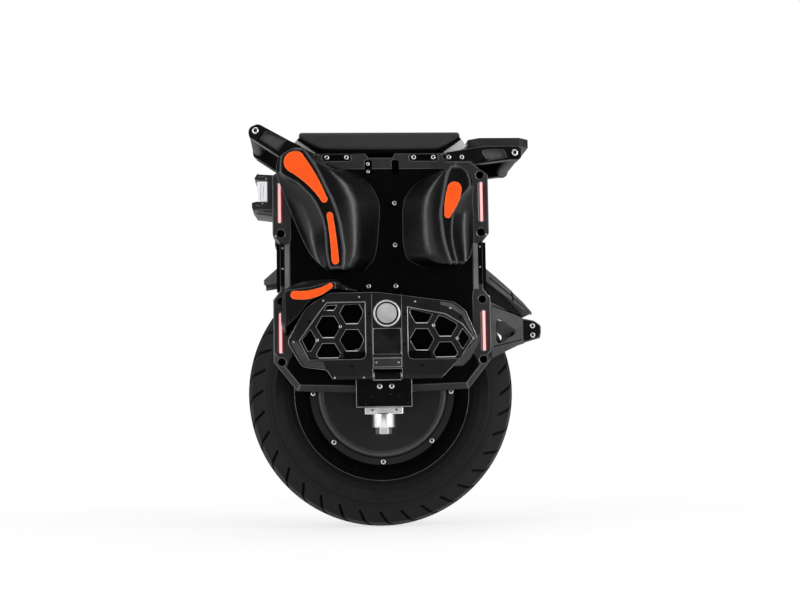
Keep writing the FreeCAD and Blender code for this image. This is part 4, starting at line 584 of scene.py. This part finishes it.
def lower_pad_rows():
    """Rows of the left lower pad and their edge marks: painted highlights along its bead and back edge, and
    painted sheen on its hood.
    """
    curves = column_curves(LOWER_PAD)
    low = LOWER_PAD[0][0] + LOWER_END
    high = LOWER_PAD[-1][0] - LOWER_END
    rows = []
    marks = []
    for x in np.linspace(low, high, LOWER_STATIONS):
        foot, start, stop, top, rise = [curve(x) for curve in curves]
        ridge = FACE + rise
        fullness = rise / LOWER_RISE
        sag = min(4.0, 0.3 * (top - stop))
        line = np.concatenate([
            [(foot, FOOT), (start, ridge), (stop, ridge)],
            arc((stop, ridge), ((top + stop) / 2.0 - sag, (FOOT + ridge) / 2.0 - sag), (top, FOOT), 16)[1:],
        ])
        line = rounded(resample(line, LOWER_POINTS), 6)
        line, edge = beaded(line, [(stop, ridge)], 1.3, 0.5 * fullness)
        # Painted highlight along the back edge
        back_edge = 0.8 * fade(distance_to(line, top, FOOT + 3.0), 2.0)
        # Painted sheen on the hood behind the ridge
        hood = HOOD_PAINTED_SHEEN * (line[:, 0] > stop + 2.5)
        rows.append([(HINGE[0] + x, -y, HINGE[1] + z) for z, y in line])
        marks.append(np.maximum(np.maximum(edge * min(1.0, fullness), back_edge), hood))
    return rows, np.concatenate(marks)


def add_pads():
    for name, node_name, made in (("upper_pad", "upper_pads", upper_pad_rows(FRONT_PAD, FRONT_RISE)),
                                  ("rear_pad", "rear_pads", upper_pad_rows(REAR_PAD, REAR_RISE)),
                                  ("lower_pad", "lower_pads", lower_pad_rows())):
        verts, faces = grid_mesh(made[0])
        for side, points in (("left", verts), ("right", mirror_y(verts))):
            pad = add_mesh(name + "_" + side, points, faces, PAD, marks=made[1])
            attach(pad, "chassis")
            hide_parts(node_name)


add_pads()


# Seat

SEAT_HALF_LENGTH = 150.0
SEAT_HALF_WIDTH = 95.0
SEAT_UNDER = 700.0
SEAT_TOP = 735.0
SEAT_FLAT = 110.0
SEAT_BEND = 6.0
SEAT_SLOPE = 23.0 / 40.0
SEAT_ROUND = 5.0
SEAT_SEAM = 723.5
UNDER_LIMIT = 722.0


def seat_section(half, bottom, top, seam):
    """Cross-section of the seat from the middle of its underside round to the middle of its top."""
    return np.concatenate([
        [(0.0, bottom), (half - 5.0, bottom)],
        arc((half - 5.0, bottom), (half - 1.5, bottom + 1.5), (half, bottom + 5.0), 8)[1:],
        [(half, seam - 1.6), (half - 1.0, seam), (half, seam + 1.0)],
        arc((half, seam + 1.0), (half - 3.2, top - 4.2), (half - 10.0, top - 1.2), 12)[1:],
        [(half - 16.0, top - 0.5), (half - 17.2, top - 1.3), (half - 18.4, top - 0.4)],
        arc((half - 18.4, top - 0.4), ((half - 18.4) / 2.0, top + 0.6), (0.0, top + 1.0), 20)[1:],
    ])


def add_seat():
    """Crowned seat pad: sloped ends, a seam along the sides and soft upper edges."""
    ends = [-SEAT_HALF_LENGTH + t for t in (0.0, 0.3, 1.0, 2.0, 3.5, 5.0)]
    middle = list(np.linspace(ends[-1], -ends[-1], 60)[1:-1])
    rows = []
    for x in ends + middle + [-x for x in reversed(ends)]:
        draw = end_shrink(x, -SEAT_HALF_LENGTH, SEAT_HALF_LENGTH, SEAT_ROUND)
        past = abs(x) - SEAT_FLAT
        under = SEAT_UNDER + SEAT_SLOPE * 0.5 * (past + math.hypot(past, SEAT_BEND))
        bottom = min(under + 0.4 * draw, UNDER_LIMIT)
        seam = max(SEAT_SEAM, bottom + 3.0)
        half = seat_section(SEAT_HALF_WIDTH - draw, bottom, SEAT_TOP - 0.7 * draw, seam)
        half = rounded(resample(half, 150), 2)
        whole = np.concatenate([half, (half * (-1.0, 1.0))[-2:0:-1]])
        rows.append([(x, y, z) for y, z in whole])
    verts, faces = grid_mesh(rows)
    seat = add_mesh("seat_cushion", verts, faces, SEAT)
    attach(seat, "chassis")
    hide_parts("seat_pad")


add_seat()


# Bolts

SIDES = 24
HEAD_RINGS = [(1.0, 0.0), (1.0, 0.35), (0.94, 0.62), (0.8, 0.86), (0.62, 1.0)]
HEAD_HEIGHT = 0.62
SOCKET_SHARE = 0.55
SOCKET_FLOOR = 0.35


def button_head(radius):
    """Domed head with a hexagon socket, standing on z = 0; returns vertices and faces."""
    height = radius * HEAD_HEIGHT
    verts = []
    for share, rise in HEAD_RINGS:
        verts += [(x, y, height * rise) for x, y in disc(0.0, 0.0, radius * share, SIDES)]
    for rise in (1.0, SOCKET_FLOOR):
        for turn in turns(SIDES):
            flat = math.cos(math.pi / 6.0) / math.cos((turn % (math.pi / 3.0)) - math.pi / 6.0)
            reach = radius * SOCKET_SHARE * flat
            verts.append((reach * math.cos(turn), reach * math.sin(turn), height * rise))
    last = len(HEAD_RINGS) + 1
    faces = ring_faces(SIDES, last)
    faces.append(tuple(last * SIDES + i for i in range(SIDES)))
    return verts, faces


def bolts(name, places, body, replaced=None):
    """One object with a button head at each (x, y, z, radius), pointing outwards along Y."""
    verts = []
    faces = []
    for x, y, z, radius in places:
        head_verts, head_faces = button_head(radius)
        start = len(verts)
        out = 1.0 if y > 0 else -1.0
        verts += [(x + hx, y + out * hz, z + hy) for hx, hy, hz in head_verts]
        faces += [tuple(start + i for i in face) for face in head_faces]
    obj = add_mesh(name, verts, faces, STEEL)
    obj.data.set_sharp_from_angle(angle=math.radians(40.0))
    obj.data.materials.append(SOCKET_DARK)
    for index, polygon in enumerate(obj.data.polygons):
        if index % len(head_faces) >= len(head_faces) - SIDES - 1:
            polygon.material_index = 1
    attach(obj, body)
    if replaced:
        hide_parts(replaced)


def both_sides(places):
    return places + [(x, -y, z, radius) for x, y, z, radius in places]


TIP_THICK = 0.7
MOTOR_BOLT_COUNT = 8
MOTOR_BOLT_CIRCLE = 129.0


def add_frame_bolts():
    column = [(25.0, -FACE, z, 4.5) for z in (444.0, 520.0, 598.0)] + [(-25.0, -FACE, 444.0, 4.5)]
    hanger = [(x, -HANGER_FACE, 260.0, 5.0) for x in (-8.0, 14.0)]
    band = [(x, -ARM_FACE, 684.0, 4.5) for x in (128.0, 152.5)]
    arms = [(-230.0, -ARM_FACE, 735.0, 6.5), (252.0, -ARM_FACE, 692.0, 6.5)]
    guard = [(277.0, -ARM_FACE - TIP_THICK, z, 5.0) for z in (367.5, 350.5)]
    bolts("frame_bolt_heads", both_sides(column + hanger + band + arms + guard), "chassis", "frame_bolts")


def add_motor_bolts():
    places = []
    for turn in turns(MOTOR_BOLT_COUNT):
        x = MOTOR_BOLT_CIRCLE * math.sin(turn)
        places.append((x, -COVER_FACE, AXLE + MOTOR_BOLT_CIRCLE * math.cos(turn), 5.0))
    bolts("motor_bolt_heads", both_sides(places), "wheel", "motor_cover_bolts")


def add_pocket_bolts():
    lifted = -FACE - 0.3
    band = [(side * x, -ARM_FACE - 0.3, 684.0, 4.6) for side in (-1, 1) for x in (62.5, 99.0)]
    slots = [(-23.0, lifted, z, 3.4) for z in (671.5, 657.5)]
    hanger = [(side * 22.0 + 1.0, -96.0, 216.0, 3.2) for side in (-1, 1)]
    waist = [(side * x, lifted, z, 1.7) for side in (-1, 1)
             for x, z in ((182.0, 478.0), (182.0, 516.0), (194.0, 538.5))]
    bolts("pocket_bolt_heads", both_sides(band + slots + hanger + waist), "chassis")


add_frame_bolts()
add_motor_bolts()
add_pocket_bolts()


# Shapes of small plates and rings

def fillet(points, radius):
    """Outline with its corners rounded."""
    result = []
    count = len(points)
    for i in range(count):
        corner = np.array(points[i], float)
        before = np.array(points[i - 1], float) - corner
        after = np.array(points[(i + 1) % count], float) - corner
        reach = min(radius, 0.45 * np.hypot(*before), 0.45 * np.hypot(*after))
        a = corner + before / np.hypot(*before) * reach
        b = corner + after / np.hypot(*after) * reach
        result += [tuple(p) for p in arc(a, (a + 2.0 * corner + b) / 4.0, b, 6)]
    return result


def rectangle(x, half, low, high):
    return [(x - half, low), (x + half, low), (x + half, high), (x - half, high)]


def fore_and_aft(outline):
    """The outline and its image at the other end of the object."""
    return [[(side * x, z) for x, z in outline] for side in (1, -1)]


def slab(outline, face, thick, edge=0.25):
    """Left-hand plate on a face, with a small chamfer round its outer side."""
    mx, mz = np.mean(np.array(outline), axis=0)
    verts = [(x, -face, z) for x, z in outline]
    verts += [(x, -face - thick + edge, z) for x, z in outline]
    for x, z in outline:
        share = max(0.0, 1.0 - edge / math.hypot(x - mx, z - mz))
        verts.append((mx + (x - mx) * share, -face - thick, mz + (z - mz) * share))
    count = len(outline)
    faces = [tuple(range(count)), tuple(2 * count + i for i in range(count))]
    return verts, faces + ring_faces(count, 2)


def thin(outline, face, thick=0.25):
    """Left-hand plate with hardly any thickness."""
    return slab(outline, face, thick, 0.1)


def lathe(x, z, section, count=96):
    """Left-hand ring from a closed section of (radius, distance from the middle plane)."""
    size = len(section)
    verts = []
    faces = []
    for i, turn in enumerate(turns(count)):
        verts += [(x + r * math.cos(turn), -y, z + r * math.sin(turn)) for r, y in section]
        n = (i + 1) % count
        for j in range(size):
            k = (j + 1) % size
            faces.append((i * size + j, i * size + k, n * size + k, n * size + j))
    return verts, faces


def ring(x, z, inner, outer, face, thick, count=48):
    """Left-hand flat ring with a rounded outer side."""
    slope = 0.25 * (outer - inner)
    section = [(outer, 0.0), (outer, 0.6), (outer - slope, 1.0),
               (inner + slope, 1.0), (inner, 0.6), (inner, 0.0)]
    return lathe(x, z, [(radius, face + thick * height) for radius, height in section], count)


def bars(lines, face, height=0.2):
    """Thin left-hand bars along lines, each given as its width and its points (x, z)."""
    shapes = []
    for width, points in lines:
        for (ax, az), (bx, bz) in zip(points, points[1:]):
            share = width / 2.0 / math.hypot(bx - ax, bz - az)
            nx = (az - bz) * share
            nz = (bx - ax) * share
            outline = [(ax + nx, az + nz), (bx + nx, bz + nz), (bx - nx, bz - nz), (ax - nx, az - nz)]
            shapes.append(thin(outline, face, height))
    return shapes


def joined(shapes):
    verts = []
    faces = []
    for shape_verts, shape_faces in shapes:
        start = len(verts)
        verts += shape_verts
        faces += [tuple(start + i for i in face) for face in shape_faces]
    return verts, faces


def add_piece(name, shapes, mat, body, smooth=SHARP_ANGLE):
    """Left-hand shapes and their mirror image as two pieces; those of a pedal ride their side's pedal."""
    verts, faces = joined(shapes)
    for side, points in (("_left", verts), ("_right", mirror_y(verts))):
        obj = add_mesh(name + side, points, faces, mat)
        obj.data.set_sharp_from_angle(angle=smooth)
        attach(obj, body + side if body == "pedal" else body)


def chassis_piece(name, shapes, mat):
    add_piece(name, shapes, mat, "chassis")


def pedal_piece(name, shapes, mat):
    add_piece(name, shapes, mat, "pedal")


# Trim on the wheel

COVER_LIP = [(109, 48.05), (111, 48.5), (113.5, 48.9), (116, 48.7), (118, 47.8), (119.3, 46.2),
             (119.8, 43.1), (116.2, 43.1), (116.2, 48.05)]
WALL_RADIUS = 198.5
WALL_HALF = 50.0
WALL_LEAN = 0.399
SHOULDER_LEAN = 0.217
WALL_LAP = 0.3
# Bands on the tyre's walls, darker than the tyre as painted shade: inner and outer radius and height
FOOT_BAND = (165.2, 172.0, 0.3)
WALL_BANDS = [(172.6, 183, 0.25), (204.6, 207.4, 0.15)]
GROOVE_RADII = (120.0, 122.6)


def wall_half(radius):
    """Half the tyre's width at a radius, inside its widest point or outside it."""
    lean = WALL_LEAN if radius < WALL_RADIUS else SHOULDER_LEAN
    return WALL_HALF - abs(radius - WALL_RADIUS) * lean


def wall_band(low, high, lift):
    """Skin on the tyre's side wall between two radii."""
    inner = wall_half(low)
    outer = wall_half(high)
    return lathe(0.0, AXLE, [(low, inner - WALL_LAP), (low, inner + lift), (high, outer + lift),
                             (high, outer - WALL_LAP)], 144)


def add_wheel_trim():
    lip = lathe(0.0, AXLE, COVER_LIP)
    groove = ring(0.0, AXLE, *GROOVE_RADII, COVER_FACE + 0.05, 0.12, 96)
    walls = [wall_band(*band) for band in WALL_BANDS]
    # The lip's lighter look is a painted highlight
    add_piece("cover_lip", [lip], LIP_HIGHLIGHT, "wheel", math.radians(50.0))
    add_piece("cover_groove", [groove], HOLLOW, "wheel")
    # Darker bands on the tyre's walls: painted shade
    add_piece("tyre_feet", [wall_band(*FOOT_BAND)], TYRE_FOOT_SHADE, "wheel")
    add_piece("tyre_walls", walls, TYRE_WALL_SHADE, "wheel")


add_wheel_trim()


# Trim on the hangers and pedals

DISC_PLACE = (HINGE[0], 392.0)
DISC_FACE = PEDAL_FACE + 0.8
DISC_THICK = 0.3
DISC_RADIUS = 18.2
RING_RADII = (21.4, 24.0)
MAGNET_FACE = PEDAL_FACE + 0.5
MAGNET_RIM = rectangle(HINGE[0], 25.2, 294.8, 310.2)
MAGNET_LEVEL = 302.5
SPINE_PLATE = fillet(rectangle(HINGE[0], 24.5, 318.5, 363.5), 4.0)
SPINE_SEAMS = [rectangle(x, 0.4, 314.0, 427.0) for x in (-21.0, 33.0)]
HOLE_RISE = 0.15
HOLE_EDGE = 0.05
HANGER_HOLES = [(-21.5, 240.8), (11.7, 245.8), (28.2, 241.2), (-33.9, 228.5), (43.4, 228.5)]
PEDAL_HOLES = [(-26, 391.5), (39, 390.7), (-26.8, 336), (38, 335.1), (-58, 296.5), (68.6, 296.5),
               (-135, 379), (140.1, 383)]
BORDER_OUTLINE = [(-169.5, 341.5), (-155, 342.6), (-136.5, 307.6), (-110.5, 306), (-105, 292),
                  (-143, 298), (-148.5, 303)]
CORNER_OUTLINE = [(122.5, 294), (144.1, 295.4), (156, 306.8), (175.2, 339.1), (174.4, 354),
                  (169.6, 346), (136.9, 309)]
KNURL_OUTLINE = [(104, 412.5), (127, 408.5), (147.5, 393.5), (168.5, 345), (153, 327),
                 (158, 333), (163.5, 346.5), (143, 387), (119, 402.5), (104, 406)]
SHADE_OUTLINES = [
    [(-134, 309.4), (-33.4, 309.4), (-33.4, 323.2), (-73, 323.2), (-73, 311.6), (-132.8, 311.6)],
    [(44.4, 308.4), (137, 308.4), (135.5, 310.6), (86, 310.6), (86, 323.2), (44.4, 323.2)],
]
# Lower edges of the web's cells, which carry a painted highlight: middle, level and half width
SILLS = [(-57.5, 374.5, 10.6), (-57.5, 325, 10.6), (-100.4, 349.75, 10.6), (-96.3, 399.25, 6),
         (-100.4, 313, 17.6), (69.5, 374.5, 10.6), (69.5, 325, 10.6), (112.4, 349.75, 10.6),
         (112.4, 312, 17.6)]
SILL_DROP = 0.7
# Lower corners of the wings' recesses: place and the recess's side of the corner
WING_CORNERS = [(-33, 309, -1), (44, 308, 1)]
CORNER_RADIUS = 9.0
CORNER_LAP = 0.9
CORNER_STEPS = 8
WEB_SCREWS = [(-78.5, 369), (-121, 344.5), (91, 369), (134, 345)]
PLATE_SCREWS = [(-44, 422), (-109, 416), (-163, 342), (-90, 276), (-37, 276),
                (58, 413), (122, 400), (163, 345)]


def holes(places, radius, face):
    """Flat dark discs that stand for small holes: painted shade in place of the holes' insides."""
    return [slab(disc(x, z, radius, 16), face, HOLE_RISE, HOLE_EDGE) for x, z in places]


def corner_arc(x, z, inward):
    """Round of a recess's lower corner."""
    quarter = turns(4 * CORNER_STEPS)[:CORNER_STEPS + 1]
    return [(x + inward * CORNER_RADIUS * (1.0 - math.cos(turn)), z + CORNER_RADIUS * (1.0 - math.sin(turn)))
            for turn in quarter]


def corner_web(x, z, inward):
    """Outline of the metal left in a recess's lower corner."""
    low = z - CORNER_LAP
    side = x - inward * CORNER_LAP
    inner = x + inward * CORNER_RADIUS
    return corner_arc(x, z, inward) + [(inner, low), (side, low), (side, z + CORNER_RADIUS)]


def add_pedal_plates():
    seams = [thin(outline, PEDAL_FACE, 0.3) for outline in SPINE_SEAMS]
    # Dark discs in the pedal's holes: painted shade
    pedal_piece("pedal_holes", holes(PEDAL_HOLES, 1.9, PEDAL_FACE), HOLLOW)
    pedal_piece("pedal_border", [thin(BORDER_OUTLINE, PEDAL_FACE)], BORDER)
    pedal_piece("pedal_corner", [slab(CORNER_OUTLINE, 122.5, 6.9, 0.6)], BORDER)
    pedal_piece("pedal_knurl", [slab(KNURL_OUTLINE, PEDAL_FACE, 0.3, 0.05)], KNURL)
    pedal_piece("spine_plate", [slab(SPINE_PLATE, PEDAL_FACE - 3.0, 0.8)], BUTTON)
    pedal_piece("spine_seams", seams, BRIGHT)


def add_pedal_disc():
    """Plain disc in a plain ring on the pedal's spine."""
    bed = slab(disc(*DISC_PLACE, RING_RADII[0] - 0.2), DISC_FACE, DISC_THICK)
    plain = slab(disc(*DISC_PLACE, DISC_RADIUS, 48), DISC_FACE + DISC_THICK, DISC_THICK)
    pedal_piece("pedal_ring", [ring(*DISC_PLACE, *RING_RADII, DISC_FACE, 0.7)], SILVER)
    pedal_piece("pedal_ring_face", [bed], BUTTON)
    pedal_piece("pedal_disc", [plain], BADGE)


def add_web_trim():
    """Shaded recess floors, painted highlights on the cells' lower edges and rounded recess corners of the
    pedal's web.
    """
    shades = [slab(outline, WEB_FACE, HOLE_RISE, HOLE_EDGE) for outline in SHADE_OUTLINES]
    sills = [(1.3, [(x - half, z - SILL_DROP), (x + half, z - SILL_DROP)]) for x, z, half in SILLS]
    webs = [slab(corner_web(*corner), WEB_FACE, 4.1, 0.05) for corner in WING_CORNERS]
    edges = [(0.9, corner_arc(*corner)) for corner in WING_CORNERS]
    pedal_piece("wing_shades", shades, PANEL)
    pedal_piece("cell_sill_highlights", bars(sills, WEB_FACE, 0.15), PALE)
    pedal_piece("wing_corners", webs, ANODISED)
    pedal_piece("wing_corner_edges", bars(edges, PEDAL_FACE + 0.1, 0.12), BRIGHT)


def add_magnet_rims():
    loop = MAGNET_RIM + MAGNET_RIM[:1]
    pedal_piece("magnet_rims", bars([(1.2, loop)], MAGNET_FACE), BRIGHT)


def add_pedal_screws():
    for side, sign in (("left", -1.0), ("right", 1.0)):
        screws = [(x, WEB_FACE * sign, z, 3.0) for x, z in WEB_SCREWS]
        screws += [(x, PEDAL_FACE * sign, z, 1.7) for x, z in PLATE_SCREWS]
        screws += [(x, MAGNET_FACE * sign, MAGNET_LEVEL, 1.6) for x in (-14.0, 26.0)]
        bolts("pedal_screws_" + side, screws, "pedal_" + side)


chassis_piece("hanger_holes", holes(HANGER_HOLES, 2.0, HANGER_FACE), ANODISED)
add_pedal_plates()
add_pedal_disc()
add_web_trim()
add_magnet_rims()
add_pedal_screws()


# Trim on the guards and the rear mudguard

MUD_FACE = 58.05
LINER_OUTLINE = [(203, 440), (262.5, 391.6), (260.5, 386), (206, 409.5)]
GUARD_FLAT = [(-166, 318), (-166.3, 301.4), (-150, 278), (-52.5, 273.2), (-52.5, 263),
              (-152, 265.6), (-176, 296), (-172, 310)]
GUARD_TIP = [(260, 379.5), (280, 375), (291, 367), (291, 357), (289, 347.5), (260, 339)]
MUD_SEAMS = [(1.8, [(204, 462), (220, 448.5), (246, 426.5)]),
             (1.4, [(249, 423.5), (267, 406.8), (278, 395.5)]), (2.4, [(245.8, 434), (248.4, 417)])]
GUARD_LINES = [(2, [(203, 405.5), (256, 386)]), (1.6, [(204, 330), (257, 342.5)])]


def add_guard_trim():
    flats = [thin(outline, FACE) for outline in fore_and_aft(GUARD_FLAT)]
    liner = slab(LINER_OUTLINE, MUD_FACE + 0.15, 1.0, 0.2)
    chassis_piece("mudguard_liner", [liner], MUD_DARK)
    chassis_piece("mudguard_seams", bars(MUD_SEAMS, MUD_FACE), HOLLOW)
    chassis_piece("guard_lines", bars(GUARD_LINES, ARM_FACE, 0.12), HOLLOW)
    chassis_piece("guard_flats", flats, PANEL)
    chassis_piece("guard_tips", [slab(fillet(GUARD_TIP, 4.0), ARM_FACE, TIP_THICK)], ARM)


add_guard_trim()


# Trim on the rails, the top bands and the handle arms

WAIST = [(178.5, 446), (186.3, 446), (186.3, 527), (178.5, 521)]
# Light grey bands on the rails' rounded waists: a painted highlight
WAIST_BAND = [(169.9, 437), (178.3, 437), (178.3, 521), (169.9, 523.5)]
HOLLOWS = [(side * 185.0, level) for side in (-1, 1) for level in (307.0, 418.0, 543.0, 650.0)]
HOLLOW_DEPTH = 5.0
BAND_SLOTS = [rectangle(x, 6.2, 652.5, 679.0) for x in (-22.0, 28.0)]
BAND_FLOORS = [rectangle(x, 26.0, 677.5, 690.5) for x in (-80.7, 80.7)]
NOTCH = rectangle(0.0, 31.0, 681.0, 693.2)
NOTCH_FACE = 87.5
STRIP_LEVELS = (360.0, 600.0)
STRIP_REACH = 34.0
# Bright strip on the front arm's lower chamfer: a painted highlight
ARM_EDGE = [(-236, 720.4), (-236.4, 717.4), (-188.4, 685.4), (-187.8, 688)]
ARM_POCKETS = [[(-210.5, 733), (-176.5, 717.5), (-190, 699.5), (-219, 719)],
               [(191.5, 695), (229, 697), (236, 684.8), (202, 680)]]
ARM_WEB = 92.2


def add_rail_trim():
    # Black discs down in the rails' holes: painted shade of the deep holes
    hollows = [slab(disc(x, z, 6.6), FACE - HOLLOW_DEPTH, 0.6) for x, z in HOLLOWS]
    plates = [thin(outline, FACE, 0.3) for outline in fore_and_aft(WAIST)]
    waists = [slab(outline, FACE, 0.5, 0.3) for outline in fore_and_aft(WAIST_BAND)]
    # Dark red strips beside the side lights: painted glow of the lights on the slots' edges
    edges = [thin(rectangle(side * STRIP_X + 5.7, 1.1, z - STRIP_REACH, z + STRIP_REACH), FACE, 0.15)
             for side in (-1, 1) for z in STRIP_LEVELS]
    chassis_piece("rail_hollows", hollows, HOLLOW)
    chassis_piece("waist_plates", plates, PANEL)
    chassis_piece("waist_highlights", waists, WAIST_GREY)
    chassis_piece("light_edge_glows", edges, STRIP_GLOW)


def add_band_trim():
    slots = [slab(fillet(outline, 5.0), FACE, 0.3) for outline in BAND_SLOTS]
    floors = [slab(fillet(outline, 6.0), ARM_FACE, 0.25) for outline in BAND_FLOORS]
    chassis_piece("band_slots", slots, HOLLOW)
    chassis_piece("band_floors", floors, PANEL)
    # Black sheet behind the band's notch: painted shade
    chassis_piece("notch_backs", [thin(NOTCH, NOTCH_FACE, 0.55)], HOLLOW)


def add_arm_trim():
    # Grey pocket floors on the black arms: painted light
    floors = [slab(fillet(outline, 2.0), ARM_WEB, 0.6) for outline in ARM_POCKETS]
    # Painted highlight on the front arm's lower chamfer
    chassis_piece("arm_edge_highlights", [thin(ARM_EDGE, ARM_FACE)], BRIGHT)
    chassis_piece("arm_floors", floors, LIT_POCKET_GREY)


add_rail_trim()
add_band_trim()
add_arm_trim()


# Trim on the headlight

LAMP_FACE = 42.0
LENS_FACE = 37.0
LAMP_BELLY = [(-196, 595.5), (-229.5, 596.6), (-226.5, 589), (-196, 584.4)]
LAMP_CORNER = [(-235.8, 596.4), (-231.8, 589.4), (-227, 589), (-230, 596.2)]
LAMP_SCREWS = [(-212.9, 655.4), (-219.9, 608.2)]
LAMP_EDGES = [(1.2, [(-233.5, 597.6), (-202, 596.4)]), (2.2, [(-228.6, 658.2), (-215.5, 659.6)]),
              (2.4, [(-233, 606), (-224, 603)])]
LAMP_GROOVE = (1.4, [(-218.0, 593.6), (-202.0, 593.0)])
LENS_LINES = [(1.4, [(-222.5, 646.8), (-224.5, 616.1)]), (1, [(-217.6, 645.4), (-219.4, 617.4)])]


def add_lamp_trim():
    screws = [slab(disc(x, z, 1.5, 16), LAMP_FACE, 0.5, 0.2) for x, z in LAMP_SCREWS]
    chassis_piece("lamp_screws", screws, SILVER)
    chassis_piece("lamp_edges", bars(LAMP_EDGES, LAMP_FACE), GUARD)
    chassis_piece("lamp_bellies", [slab(LAMP_BELLY, LAMP_FACE, 0.12, 0.05)], GUARD)
    chassis_piece("lamp_corners", [slab(LAMP_CORNER, LAMP_FACE, 0.12, 0.05)], WAIST_GREY)
    chassis_piece("lamp_grooves", bars([LAMP_GROOVE], LAMP_FACE), HOLLOW)
    chassis_piece("lens_lines", bars(LENS_LINES, LENS_FACE), PALE)


add_lamp_trim()


# Stage, light and camera

FLOOR_HALF = 30.0
BODY_MIDDLE = (0.0, 0.0, 0.5)
BODY_LOW = (0.0, 0.0, 0.4)
CAMERA_PLACE = Vector((-131.638, -2597.834, 205.488)) * MM
CAMERA_TARGET = Vector((38.962, 0.0, 425.696)) * MM
CAMERA_ROLL = math.radians(-0.966)
CAMERA_LENS = 61.453
UP = Vector((0.0, 0.0, 1.0))


def floor_look():
    """Pale floor that catches a faint shadow near the object and is seen as white further away."""
    mat, nodes, link, shader = new_material("floor_pale")
    place = object_place(nodes)
    cloud = feed(nodes, link, "TexNoise", place, Scale=3.0)
    pale = color_ramp(nodes, link, cloud, (0.0, (0.9, 0.9, 0.9)), (1.0, (0.94, 0.94, 0.94)))
    link(pale, shader.inputs["Base Color"])
    set_inputs(shader, {"Roughness": 0.9, "Specular IOR Level": 0.0})
    rays = node(nodes, "LightPath").outputs
    seen = feed(nodes, link, "Math", rays["Is Camera Ray"], rays["Is Glossy Ray"], operation="MAXIMUM")
    reach = node(nodes, "VectorMath", operation="LENGTH")
    link(place, reach.inputs[0])
    whiteness = feed(nodes, link, "MapRange", reach.outputs["Value"], 0.3, 1.1, 0.72, 1.0)
    share = feed(nodes, link, "Math", seen, whiteness, operation="MULTIPLY")
    glow = node(nodes, "Emission").outputs[0]
    mix = feed(nodes, link, "MixShader", share, shader.outputs[0], glow)
    link(mix, nodes["Material Output"].inputs["Surface"])
    return mat


def add_floor():
    corners = [(x, y, 0.0) for x, y in rectangle(0.0, FLOOR_HALF, -FLOOR_HALF, FLOOR_HALF)]
    mesh = bpy.data.meshes.new("floor")
    mesh.from_pydata(corners, [], [(0, 1, 2, 3)])
    mesh.materials.append(floor_look())
    floor = bpy.data.objects.new("floor", mesh)
    bpy.context.scene.collection.objects.link(floor)


def add_world():
    """White backdrop behind the object, a dim room in front of it, and soft light all round."""
    world = bpy.data.worlds.new("studio")
    bpy.context.scene.world = world
    world.use_nodes = True
    nodes = world.node_tree.nodes
    link = world.node_tree.links.new
    nodes.clear()
    rays = node(nodes, "LightPath").outputs
    parts = node(nodes, "SeparateXYZ")
    link(node(nodes, "TexCoord").outputs["Generated"], parts.inputs["Vector"])
    behind = feed(nodes, link, "MapRange", parts.outputs["Y"], 0.62, 0.95, 0.05, 1.0)
    mirrored = feed(nodes, link, "Math", rays["Is Glossy Ray"], rays["Is Transmission Ray"],
                    operation="MAXIMUM")
    strength = feed(nodes, link, "Math", mirrored, behind, operation="MULTIPLY")
    white = node(nodes, "Background", Color=(1.0, 1.0, 1.0, 1.0)).outputs[0]
    room = node(nodes, "Background")
    link(strength, room.inputs["Strength"])
    soft = node(nodes, "Background", Color=(0.95, 0.96, 1.0, 1.0), Strength=0.22).outputs[0]
    inner = feed(nodes, link, "MixShader", mirrored, soft, room.outputs[0])
    outer = feed(nodes, link, "MixShader", rays["Is Camera Ray"], inner, white)
    link(outer, node(nodes, "OutputWorld").inputs["Surface"])


def add_light(name, place, target, size, power):
    light = bpy.data.lights.new(name, "AREA")
    light.shape = "RECTANGLE"
    light.size = size[0]
    light.size_y = size[1]
    light.energy = power
    obj = bpy.data.objects.new(name, light)
    bpy.context.scene.collection.objects.link(obj)
    obj.location = place
    obj.rotation_euler = (Vector(target) - Vector(place)).to_track_quat("-Z", "Y").to_euler()


def add_lights():
    for side, sign, power in (("left", -1.0, 32.0), ("right", 1.0, 40.0)):
        add_light(side + "_strip", (2.0 * sign, -1.2, 1.3), BODY_MIDDLE, (0.28, 2.4), power)
    for side, sign in (("left", -1.0), ("right", 1.0)):
        add_light(side + "_fill", (1.6 * sign, -2.1, 0.8), BODY_MIDDLE, (1.2, 1.3), 6.0)
    add_light("front", (-0.6, -3.0, 2.6), BODY_LOW, (2.2, 1.2), 6.4)
    add_light("top", (0.0, 0.2, 2.7), BODY_LOW, (2.2, 1.4), 25.0)
    add_light("back", (0.8, 2.6, 1.6), BODY_LOW, (2.0, 1.6), 20.0)


def add_camera():
    """Camera fitted to the photograph: slightly below the middle of the body, with a small roll."""
    ahead = (CAMERA_TARGET - CAMERA_PLACE).normalized()
    level = ahead.cross(UP).normalized()
    rise = level.cross(ahead)
    right = level * math.cos(CAMERA_ROLL) + rise * math.sin(CAMERA_ROLL)
    up = rise * math.cos(CAMERA_ROLL) - level * math.sin(CAMERA_ROLL)
    camera = bpy.data.cameras.new("camera")
    camera.sensor_width = 36.0
    camera.sensor_fit = "HORIZONTAL"
    camera.lens = CAMERA_LENS
    camera.clip_end = 100.0
    obj = bpy.data.objects.new("camera", camera)
    bpy.context.scene.collection.objects.link(obj)
    turn = Matrix((right, up, -ahead)).transposed()
    obj.matrix_world = Matrix.Translation(CAMERA_PLACE) @ turn.to_4x4()
    bpy.context.scene.camera = obj


add_floor()
add_world()
add_lights()
add_camera()
bpy.context.scene.view_settings.view_transform = "Standard"
